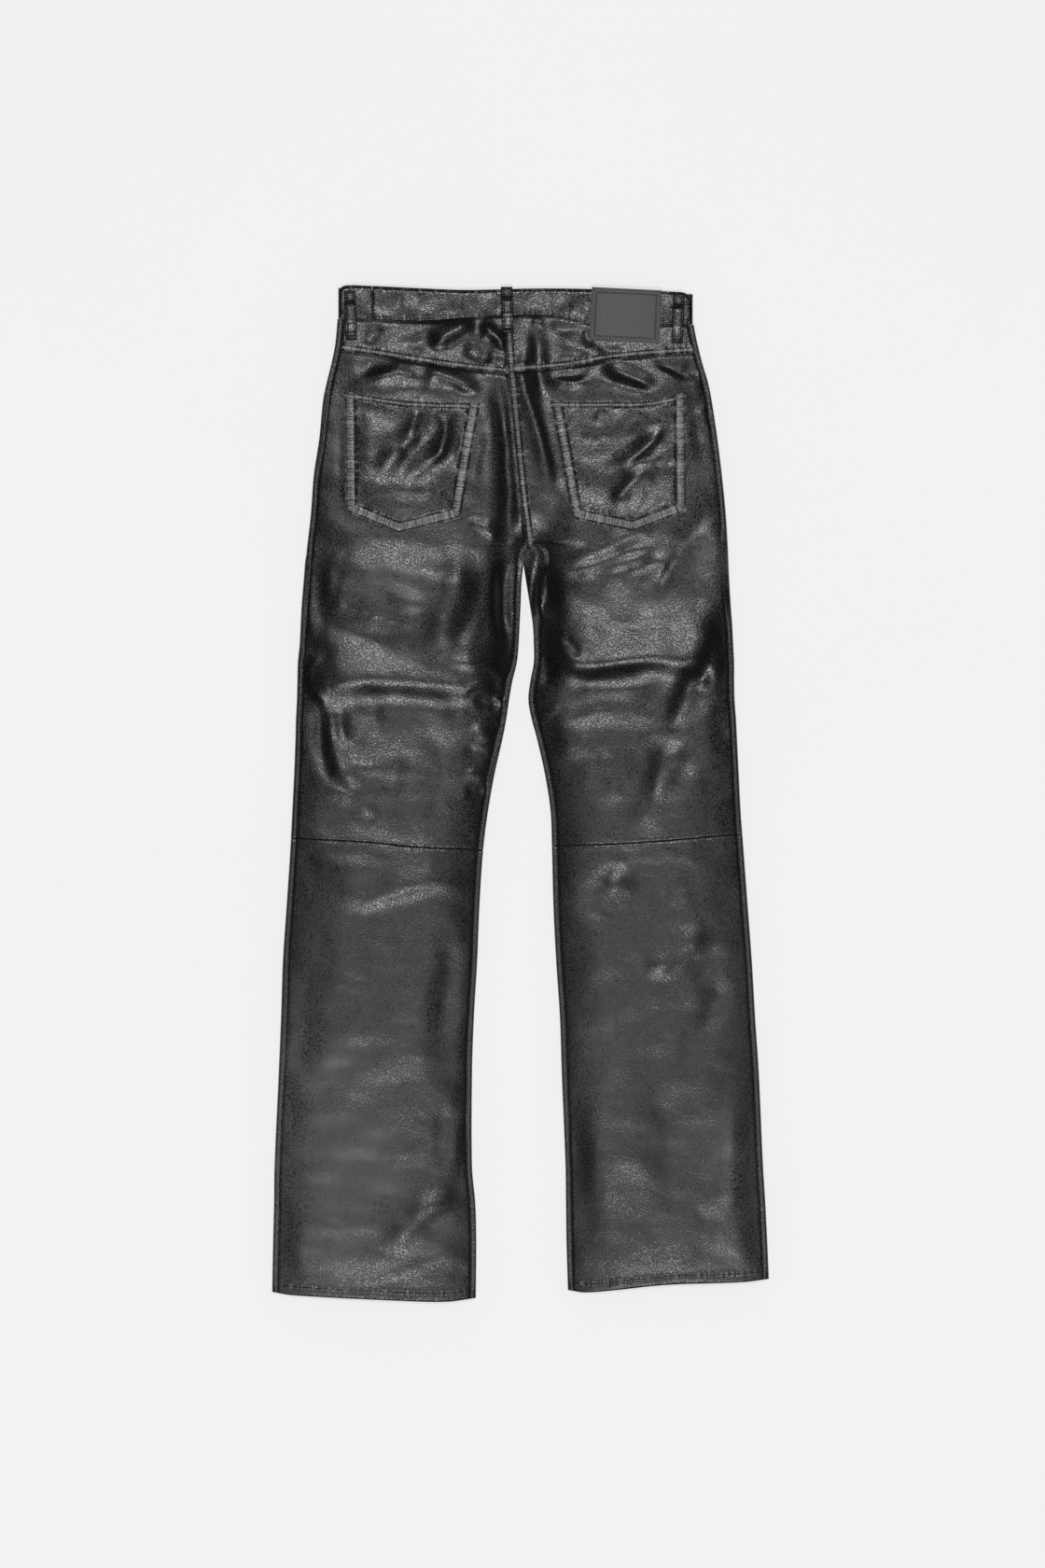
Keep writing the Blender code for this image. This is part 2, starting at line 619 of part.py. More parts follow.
def label_piece(collection, material):
    """A stiff patch with a raised border round a bare field."""
    form = bmesh.new()
    bmesh.ops.create_cube(form, size=1.0)
    for corner in form.verts:
        corner.co.x *= LABEL_SIZE[0] / 1000.0
        corner.co.y *= LABEL_SIZE[1] / 1000.0
        corner.co.z *= LABEL_WALL / 1000.0
    top = [face for face in form.faces if face.normal.z > 0.5]
    bmesh.ops.inset_region(form, faces=top, thickness=LABEL_BORDER / 1000.0)
    bmesh.ops.inset_region(form, faces=top, thickness=0.0006, depth=-LABEL_SINK / 1000.0)
    patch = new_object("label_patch", form, collection, material)
    half = math.hypot(*LABEL_SIZE) / 2
    levels = [surface_level(LABEL_CENTRE[0] + dx, LABEL_CENTRE[1] + dy)
              for dx in range(-int(half), int(half), 4) for dy in range(-32, 29, 4)]
    patch.location = to_metres(*LABEL_CENTRE, max(levels) + GAP + LABEL_WALL / 2)
    patch.rotation_euler.z = math.radians(LABEL_TILT)
    return patch


def front_loop_piece(loop, collection, material):
    form = bmesh.new()
    bmesh.ops.create_cube(form, size=1.0)
    for corner in form.verts:
        corner.co.x *= LOOP_WIDTH / 1000.0
        corner.co.y *= LOOP_LENGTH / 1000.0
        corner.co.z *= LOOP_BAR_HEIGHT / 1000.0
    piece = new_object(loop.name, form, collection, material)
    piece.location = to_metres(loop.x, loop.y, LOOP_BAR_HEIGHT / 2)
    rounding = piece.modifiers.new("soft edges", "BEVEL")
    rounding.width = 0.0007
    rounding.segments = 1
    return piece


def button_piece(collection, material):
    """The button's head, turned round its own axis."""
    form = bmesh.new()
    corners = [form.verts.new(to_metres(radius, 0.0, height)) for radius, height in BUTTON_PROFILE]
    for start, end in zip(corners, corners[1:]):
        form.edges.new((start, end))
    button = new_object("waist_button", form, collection, material)
    turned = button.modifiers.new("turned", "SCREW")
    turned.axis = "Z"
    turned.steps = 20
    turned.render_steps = 20
    turned.use_merge_vertices = True
    turned.merge_threshold = 0.00001
    button.location = to_metres(*BUTTON_CENTRE, 0.0)
    return button


def fly_sheet():
    """The fly's overlap under the left front, rounded at its lower end; its outer face is below."""
    columns, rows = 3, 7

    def place(column, row):
        y = spread(FLY_BOTTOM, FLY_TOP, row / rows)
        rounding = min((y - FLY_BOTTOM) / FLY_WIDTH, 1.0)
        width = FLY_WIDTH * math.sqrt(max(1.0 - (1.0 - rounding) ** 2, 0.06))
        right = centre_front(y) - 1.0
        return right - width * column / columns, y, front_level(y) - GAP - FLY_WALL

    return sheet(columns, rows, place)


# ---------------------------------------------------------------- the garment
def clear_scene():
    for thing in list(bpy.data.objects):
        bpy.data.objects.remove(thing, do_unlink=True)


def crotch_steps():
    """Rows of the upper fronts: close together where the inner edge unrolls above the crotch."""
    bottom = knee_seam[1](0.0)
    top = FRONT_WAIST

    def share(y):
        return (y - bottom) / (top - bottom)

    step = (yoke_seam[1](0.0) - bottom) / SEAT_ROWS
    meeting = [share(bottom + step * row) for row in range(SEAT_ROWS)
               if bottom + step * row < CROTCH_TIP - step / 2]
    above = [share(y) for y in (CROTCH_TIP, 256.0, 266.0, 271.5, 278.0, 290.0, 300.0)]
    to_waist = [spread(above[-1], 1.0, row / WAIST_ROWS) for row in range(1, WAIST_ROWS + 1)]
    return meeting + above + to_waist


def build():
    clear_scene()
    garment = bpy.data.collections.new("leather_trousers")
    bpy.context.scene.collection.children.link(garment)
    black = leather("black_leather", (0.014, 0.013, 0.014), 0.42)
    trim = leather("band_leather", (0.017, 0.016, 0.017), 0.36)
    patch = leather("label_leather", (0.035, 0.035, 0.037), 0.4)
    metal = leather("button_metal", (0.35, 0.34, 0.33), 0.3, 1.0)

    front_rows = crotch_steps()
    shin_rows = [row / SHIN_ROWS for row in range(SHIN_ROWS + 1)]
    for side, name in ((-1, "left"), (1, "right")):
        inner = inner_back_edge(side)
        yoke = back_panel_sheet(side, 12, 3, band_seam, yoke_seam[side], inner)
        give_wall(new_object(f"yoke_{name}", yoke, garment, black), WALL)

        seat = back_panel_sheet(side, 14, SEAT_ROWS, yoke_seam[side], knee_seam[side], inner)
        pocket = cut_from(seat, POCKET_LEFT if side < 0 else POCKET_RIGHT)
        give_wall(new_object(f"back_upper_{name}", seat, garment, black), WALL)
        give_wall(new_object(f"pocket_back_{name}", pocket, garment, trim), POCKET_WALL, outward=True)

        shin = back_panel_sheet(side, 11, SHIN_ROWS, knee_seam[side], hem_edge[side], inner)
        give_wall(new_object(f"back_lower_{name}", shin, garment, black), WALL)

        thigh_front = front_panel_sheet(side, front_rows, waist_seam, knee_edge)
        give_wall(new_object(f"front_upper_{name}", thigh_front, garment, black), WALL, even=False)
        shin_front = front_panel_sheet(side, shin_rows, knee_edge, hem)
        give_wall(new_object(f"front_lower_{name}", shin_front, garment, black), WALL, even=False)

        joint = LEFT_JOINT if side < 0 else RIGHT_JOINT
        band_end = band_end_sheet(side, joint)
        give_wall(new_object(f"waistband_{name}", band_end, garment, trim), BAND_WALL)

    give_wall(new_object("waistband_back", band_back_sheet(), garment, trim), BAND_WALL)
    for loop in BACK_LOOPS:
        give_wall(new_object(loop.name, loop_sheet(loop), garment, trim), LOOP_WALL, outward=True)
    for loop in FRONT_LOOPS:
        front_loop_piece(loop, garment, trim)
    label_piece(garment, patch)
    button_piece(garment, metal)
    give_wall(new_object("fly_flap", fly_sheet(), garment, black), FLY_WALL)


build()
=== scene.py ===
"""Dresses the laid-out leather trousers: panels with their creases, seams, stitches, label and hardware.

Lengths are millimetres until a mesh is made. Folds, seams and trims are given on a layout sheet: the
garment lies on a sheet 1120 wide and 1680 long, x runs right from its left edge and y runs down from
its top edge. SHEET_CENTRE is the garment's own origin on that sheet.
"""

import math
from collections import namedtuple

import bmesh
import bpy
import numpy as np
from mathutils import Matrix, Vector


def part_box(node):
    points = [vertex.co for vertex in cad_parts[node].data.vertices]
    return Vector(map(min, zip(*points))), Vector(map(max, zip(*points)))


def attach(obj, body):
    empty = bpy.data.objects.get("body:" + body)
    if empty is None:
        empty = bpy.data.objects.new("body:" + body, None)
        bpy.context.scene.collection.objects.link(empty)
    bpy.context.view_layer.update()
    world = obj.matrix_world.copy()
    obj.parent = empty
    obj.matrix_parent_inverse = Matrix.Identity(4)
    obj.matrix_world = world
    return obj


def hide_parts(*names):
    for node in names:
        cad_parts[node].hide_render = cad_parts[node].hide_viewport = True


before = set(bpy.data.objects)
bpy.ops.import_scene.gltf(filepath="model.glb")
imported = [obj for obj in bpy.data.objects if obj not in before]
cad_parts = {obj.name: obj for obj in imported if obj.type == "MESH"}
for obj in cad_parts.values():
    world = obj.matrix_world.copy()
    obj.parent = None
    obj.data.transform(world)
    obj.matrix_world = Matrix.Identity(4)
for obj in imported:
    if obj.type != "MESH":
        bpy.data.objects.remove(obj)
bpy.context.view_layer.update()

# ---------------------------------------------------------------- sizes, in millimetres
SHEET_CENTRE = (558.0, 850.5)
SHEET_SIZE = (1120.0, 1680.0)

WALL = 1.3              # leather of the legs and yokes
BAND_WALL = 2.2
SEAM = 0.5              # dark line between two panels
TONGUE = 3.0            # allowance of a lower leg beneath the knee seam
TONGUE_DROP = 1.6
TONGUE_BEND = 1.5
STRIP = 6.5             # front panel that shows beside a seam, on top of the rolled edge
FRONT_LIFT = 3.4
FRONT_RAISED_FROM = 300.0
FRONT_RAISED_TO = 420.0
BAND_FLOOR = 3.0
BAND_TOP = 9.8
BAND_EDGE = {-1: -195.5, 1: 184.5}
BAND_JOINT = {-1: -159.0, 1: 133.0}
BAND_HEIGHT = 33.0
CENTRE_FRONT_WAIST = -6.0
FRONT_WAIST = 495.0
LEG_MIDDLE = 110.0      # a panel's length is measured here
DOME_START = 3.5        # from a folded edge, where the panel starts to rise to its middle
DOME_RUN = 72.0
INNER_RUN = 58.0
DOME_POWER = 2.2
FOLD_START = 7.0        # folds fade out from here to the edge
FOLD_RUN = 26.0
SEAT_TURN = 5.0         # length over which the back's edge turns from the seat seam to the inseam
LOWEST_BACK = 3.4
HEM_DEPTH = 9.6         # from the hem's edge to its row of stitches
POCKET_WALL = 1.2
POCKET_RISE = 0.3       # padding of a pocket's turnings
LOOP_WIDTH = 12.5
LOOP_LENGTH = 52.0
LOOP_RISE = 2.2
LOOP_WALL = 1.9
LOOP_CLEARANCE = 2.0    # how far a loop that lies pressed stands off the band
LOOP_FOOT = 0.15        # share of a loop's length that is sewn down at each end
LOOP_ROW = 2.0          # from a loop's side to its row of stitches
LOOP_STITCHES = 16      # in each of a loop's rows
HOLE_GAP = 0.006        # half the leather between two stitches, as a share of the loop's length
LOOP_BARS = (0.055, 0.945)     # shares of its length at which a loop is barred down
BAR_STITCHES = 10
BAR_REACH = 0.03
BAR_RISE = 0.15
FLY_DROP = 1.0
FLY_WALL = 0.8
FLY_WIDTH = 38.0
FLY_TOP = 494.0
FLY_BOTTOM = 356.0
FLY_ROWS = (2.0, 7.0)    # from its curved edge
GAP = 0.3               # air between two pieces that meet

LABEL_SIZE = (75.0, 57.0)
LABEL_TILT = -2.8       # degrees
LABEL_ROW = 1.8         # from the label's edge to its row of stitches
PANEL_STEP = 2.6        # spacing of a sheet's points
YOKE_STEP = 2.0
POCKET_STEP = 2.0
BAND_STEP = 1.6
FLY_STEP = 2.5
ROUNDS = 6              # rounds in which a panel's points settle between slanting seams

WAVES = 16              # waves that make up the soft unevenness
FAR = 60.0              # beyond this a seam is out of sight
SHARP_EDGE = 40.0       # degrees

STITCH_PITCH = 3.3
STITCH_LENGTH = 2.5
STITCH_RADIUS = 0.36
STITCH_SINK = 0.05

# ---------------------------------------------------------------- studio, in metres and watts
LENS = 220.0
SENSOR = 36.0
VIEW_LEVEL = 0.007      # the level at which one sheet millimetre fills its share of the view
FLOOR_SIZE = 12.0
FLOOR_DROP = 0.0002     # just under the leather
FLOOR_GLOW = 0.580
HEAD_POWER = 276
FOOT_POWER = 362
ROOM_LIGHT = 0.05       # from above
WALL_LIGHT = 0.50       # from the studio's pale walls
WALL_TOP = 0.60         # sine of the elevation where the walls end
WALL_FULL = 0.35

# ---------------------------------------------------------------- how the tables are written
Place = namedtuple("Place", "x y")
Crease = namedtuple("Crease", "height right left path")
Pocket = namedtuple("Pocket", "opening sides")
Sewn = namedtuple("Sewn", "apart pucker path")


def table(columns, *rows):
    """Rows of cells under named columns."""
    return [*map(namedtuple("Row", columns)._make, rows)]


def seam(*points):
    return [Place(*point) for point in points]


def garment(*points):
    """Garment places of points on the layout sheet."""
    return [Place(x - SHEET_CENTRE[0], SHEET_CENTRE[1] - y) for x, y in points]


def creases(*rows):
    """Creases from rows of a height, a half width, and the points of a path on the layout sheet.

    The height is negative for a trough. A pair of half widths is the one at the right hand of someone who
    walks along the path, and the one at the left hand. The points are written x, y, x, y and so on.
    """
    made = []
    for height, width, *path in rows:
        right, left = width if isinstance(width, tuple) else (width, width)
        made.append(Crease(height, right, left, garment(*zip(path[::2], path[1::2]))))
    return made


def pocket(lower, *opening):
    """A pocket from its three lower corners and its opening, from left to right on the layout sheet."""
    return Pocket(garment(*opening), garment(opening[0], *lower, opening[-1]))


# ---------------------------------------------------------------- the cut, as it lies
TRUNK = table(
    "y left right",
    (544.5, -194.5, 180.5), (530, -195, 183.5), (500.5, -197, 186), (480.5, -199, 190), (460.5, -203, 195),
    (440.5, -208, 201), (420.5, -212, 205), (380.5, -216, 211), (340.5, -222, 216), (300.5, -225, 220),
    (260.5, -229.5, 222.5),
)
LEGS = table(
    "y left_outer left_inner right_inner right_outer",
    (244.5, -231.5, 2.8, 3.2, 223), (225.5, -233, 1, 6, 224), (200.5, -235, 0, 10, 225.5),
    (180.5, -236, -1, 13, 227), (160.5, -237, -2, 14, 228), (140.5, -239, -4, 14, 229),
    (120.5, -239.5, -8.8, 10.3, 229), (100.5, -240, -12.3, 8.2, 229.5), (80.5, -241, -15.2, 11.6, 231),
    (60.5, -241.5, -19, 17, 232), (20.5, -243, -28, 26, 234), (-19.5, -245, -35, 32, 236),
    (-59.5, -247, -40, 33.5, 239), (-119.5, -251, -44, 35, 243.5), (-179.5, -255, -46.5, 38, 248),
    (-239.5, -257, -50, 42, 251.5), (-299.5, -259.5, -52, 44, 255.5), (-399.5, -264, -52, 48, 260),
    (-439.5, -264.5, -48.5, 48.5, 262.5), (-479.5, -265.5, -47.5, 49, 264.5),
    (-544.5, -266.7, -48, 51, 267.2),
)
CROTCH_TIP = LEGS[0].y
INNER_STRIP = table(
    "y left right",
    (272, 6.5, 6.5), (264, 6.5, 19), (258, 7, 24), (244.5, 7, 25), (225.5, 6.5, 19), (200.5, 6.5, 12),
    (170, 6.5, 6.5),
)
BAND_UPPER_EDGE = seam(
    (-194.5, 541), (-188, 544.5), (-165, 544.3), (-105, 541.5), (-58, 539.8), (12, 541.3), (67, 541),
    (162, 538), (176, 536.5), (183.5, 531),
)
BAND_SEAM = seam(
    (-197, 509), (-173, 508.5), (-108, 506.5), (-58, 509.5), (-23, 512.5), (33, 512), (73, 503.8),
    (112, 503), (186, 502.5),
)
YOKE_SEAM = {
    -1: seam((-197, 475.5), (-162, 470.5), (-113, 462.5), (-64, 455.5), (-10, 449.5)),
    1: seam((-10, 451.5), (26, 454.5), (55, 457.5), (99, 465.5), (190, 472.8)),
}
KNEE_SEAM = {
    -1: seam((-246, -47), (-158, -51.5), (-109, -56.5), (-38, -60)),
    1: seam((32, -55), (102, -53.5), (236, -43)),
}
HEM = {
    -1: seam((-266.5, -534), (-245, -537.5), (-129, -543.5), (-79, -544.5), (-48, -540.5)),
    1: seam((51, -532), (68, -534.5), (97, -532.5), (155, -526.5), (238, -523.5), (266.5, -520)),
}
SEAT_SEAM = table(
    "y x",
    (544.5, -18), (494.5, -15.8), (459.5, -13.8), (400.5, -8.3), (321.5, -0.3), (269, 7),
)
SEAT_END = SEAT_SEAM[-1]
LEVELS = table(
    "y outer inner rest",
    (544.5, 9.4, 9.4, 9.4), (505, 9.2, 9.4, 9.8), (470, 9, 9, 11.2), (400, 8.8, 8.2, 12.6),
    (330, 8.6, 7.2, 12.8), (269, 8.3, 6.2, 12.6), (215, 8, 5.2, 11.6), (145, 7.8, 5.2, 11),
    (100, 7.8, 5.4, 11), (0, 7.6, 6, 11.8), (-300, 7.2, 6.2, 11.2), (-544.5, 6.4, 6, 9.4),
)
# The gap between the legs, the fronts' rolled edges, and where they are tucked in at its top.
FRONTS_APART = 0.4      # half the space between the fronts above the gap
NOTCH_Y = 250.0         # deepest part of the front that shows at the top of the gap
NOTCH_RUN = 13.0
NOTCH_DEPTH = 2.2
NOTCH_RIDGE = 1.7       # fold of the right front in the middle of the strip that shows there
RIDGE_PLACE = 13.0      # from the inseam
RIDGE_WIDTH = 4.5
RIDGE_END = 175.0       # the ridge fades in above here
RIDGE_FADE = 25.0
NOTCH_REACH = 30.0      # the tuck reaches this far from the inseam
DEEPEST_TROUGH = 0.7    # under the garment
KNEE_TROUGH = 0.6
MEET = 0.6              # the fronts' edges run this far into the centre seam above the legs
FOLD_TIGHTNESS = 0.55   # how far a folded edge bulges out, as a share of half its height
SIDE_GAP = 0.1
ARC = 0.72              # share of a rolled edge's profile that is its half round
TUCK_RUN = 17.5         # length of a front's edge where it lies flat, at the centre front
TUCK = table(
    "y fold run",
    (300, 0, 0), (290, 0.05, 0), (278, 0.45, 0), (271.5, 0.72, 0.25), (266, 0.78, 1), (256, 0.88, 1),
    (244.5, 1, 1),
)

# ---------------------------------------------------------------- folds and creases
CREASE_FADE = 3.2       # how soon a crease fades in and out along its path
LARGE_FOLDS = creases(
    # yoke and seat, left half
    (2.4, 13, 512, 344, 488, 358, 460, 372),
    (-2, 10, 498, 366, 518, 380, 530, 388),
    (2.2, 9, 514, 345, 528, 360, 542, 380),
    (1.6, 14, 390, 410, 428, 398, 458, 414),
    (2, 12, 446, 414, 468, 400, 518, 418),
    (0.5, (16, 18), 518, 420, 522, 470, 516, 530, 498, 570),
    (-1.7, (11, 12), 526, 392, 537, 440, 545, 480, 547, 530, 541, 565, 531, 604),
    (-1.1, 13, 454, 430, 446, 460, 408, 505),
    (-1.1, 12, 474, 432, 478, 465, 468, 500),
    # seat, right half
    (1.2, (13, 12), 560, 350, 564, 400, 574, 445, 588, 500, 598, 560),
    (-0.9, (10, 12), 573, 345, 576, 400, 585, 445, 593, 490, 594, 540, 584, 580),
    (1.7, 14, 590, 410, 638, 404, 688, 410, 738, 414),
    (-2, 10, 642, 394, 678, 404, 708, 416),
    (-1.5, 14, 714, 454, 686, 482, 658, 505),
    (-1.5, 14, 708, 496, 680, 518, 654, 544),
    (-0.5, 18, 742, 560, 718, 584, 690, 604, 628, 622),
    # thighs
    (4.2, (100, 44), 490, 584, 487, 612, 483, 644, 475, 682, 461, 718),
    (2, 16, 494, 585, 490, 620, 482, 650, 470, 678, 458, 694),
    (-1, (14, 16), 752, 706, 738, 740, 730, 765, 722, 800),
    (-1.2, 15, 342, 760, 344, 800, 362, 830),
    (1, 14, 370, 810, 378, 845, 410, 878),
    # shins
    (1.2, (13, 18), 356, 950, 393, 966, 458, 948, 502, 938),
    (-1.1, 16, 488, 1000, 474, 1080, 470, 1140),
    (1.3, 14, 498, 1150, 492, 1210, 484, 1270),
    (1.4, 14, 496, 1274, 448, 1302, 410, 1342),
    (1.3, 15, 762, 990, 718, 1022, 688, 1050),
    (-1.3, 18, 670, 925, 642, 968, 628, 1000),
    (-1.1, 16, 783, 1040, 748, 1110, 728, 1160),
    (1.2, 18, 786, 1160, 786, 1250, 780, 1320),
)
SWELLS = creases(
    # broad rises and hollows, left half
    (1.6, (22, 46), 352, 512, 400, 520, 450, 516, 500, 500),
    (1.4, (22, 40), 280, 640, 340, 638, 400, 642, 450, 640, 500, 624),
    (5.2, (17, 40), 270, 722, 335, 730, 400, 729, 460, 730, 535, 734, 570, 737),
    (-1.2, (60, 30), 350, 760, 430, 762, 500, 762),
    (1.2, (26, 44), 290, 824, 340, 822, 400, 818, 450, 822, 510, 830, 560, 836),
    (-1.4, 30, 330, 872, 400, 876, 480, 874),
    (1.6, (24, 44), 330, 938, 400, 932, 480, 930),
    (1.6, (40, 80), 320, 1110, 400, 1116, 490, 1110),
    (1.3, (28, 60), 250, 1336, 310, 1335, 380, 1338, 460, 1330, 510, 1320),
    # right half
    (0.4, 14, 766, 560, 768, 620, 768, 690, 764, 720),
    (1.4, (20, 36), 580, 552, 612, 560, 660, 570, 710, 562, 760, 530),
    (6.2, (21, 42), 550, 704, 590, 704, 650, 710, 700, 709, 762, 703, 830, 698),
    (-2, (60, 26), 600, 738, 660, 740, 720, 744),
    (2, (22, 36), 560, 802, 604, 796, 650, 786, 700, 780, 760, 760, 810, 748),
    (-1.6, 24, 752, 712, 740, 750, 714, 800, 692, 860),
    (0.6, (30, 50), 600, 900, 660, 904, 760, 900),
    (1.8, (40, 90), 600, 1240, 650, 1250, 720, 1240),
    (1.7, (28, 50), 620, 1350, 700, 1340, 740, 1330, 790, 1320, 850, 1312),
)
# Where the leather is handled and stretched most: it lies in soft waves, and a paler sheen is painted on it
# there.
UNDERNEATH = 2.5        # leather lower than this lies on the floor and gets no painted sheen
WAVE_BASE = 0.07
WAVE_MORE = 0.09
WAVE_SIZE = 26.0
WAVE_STRETCH = 0.55
RUBBED_AND_SHEEN = creases(
    # left half
    (1.2, (11, 12), 362, 400, 364, 500, 366, 580),
    (1.7, 9, 519, 428, 523, 480, 519, 532),
    (0.7, 14, 412, 552, 440, 556, 474, 552),
    (1.2, (24, 20), 360, 624, 420, 622, 480, 626),
    (0.9, 9, 356, 706, 430, 701, 478, 704, 520, 722),
    (1, 60, 330, 1030, 340, 1130, 345, 1220, 350, 1320, 370, 1440),
    (0.6, 20, 455, 1050, 456, 1130),
    (0.6, (24, 30), 400, 1196, 410, 1260, 400, 1300),
    (0.5, 20, 470, 1275, 470, 1350),
    # right half
    (0.8, 14, 628, 344, 624, 362, 628, 376),
    (1.5, 14, 714, 440, 748, 480, 756, 560),
    (1.5, (18, 20), 700, 540, 742, 560, 762, 600, 760, 650),
    (0.5, 30, 618, 690, 660, 668, 716, 655, 750, 630),
    (0.7, 22, 634, 1060, 638, 1150, 642, 1250),
    (1.1, 20, 782, 1150, 784, 1260, 785, 1340, 780, 1440),
    (0.4, 24, 720, 1290, 724, 1350),
)
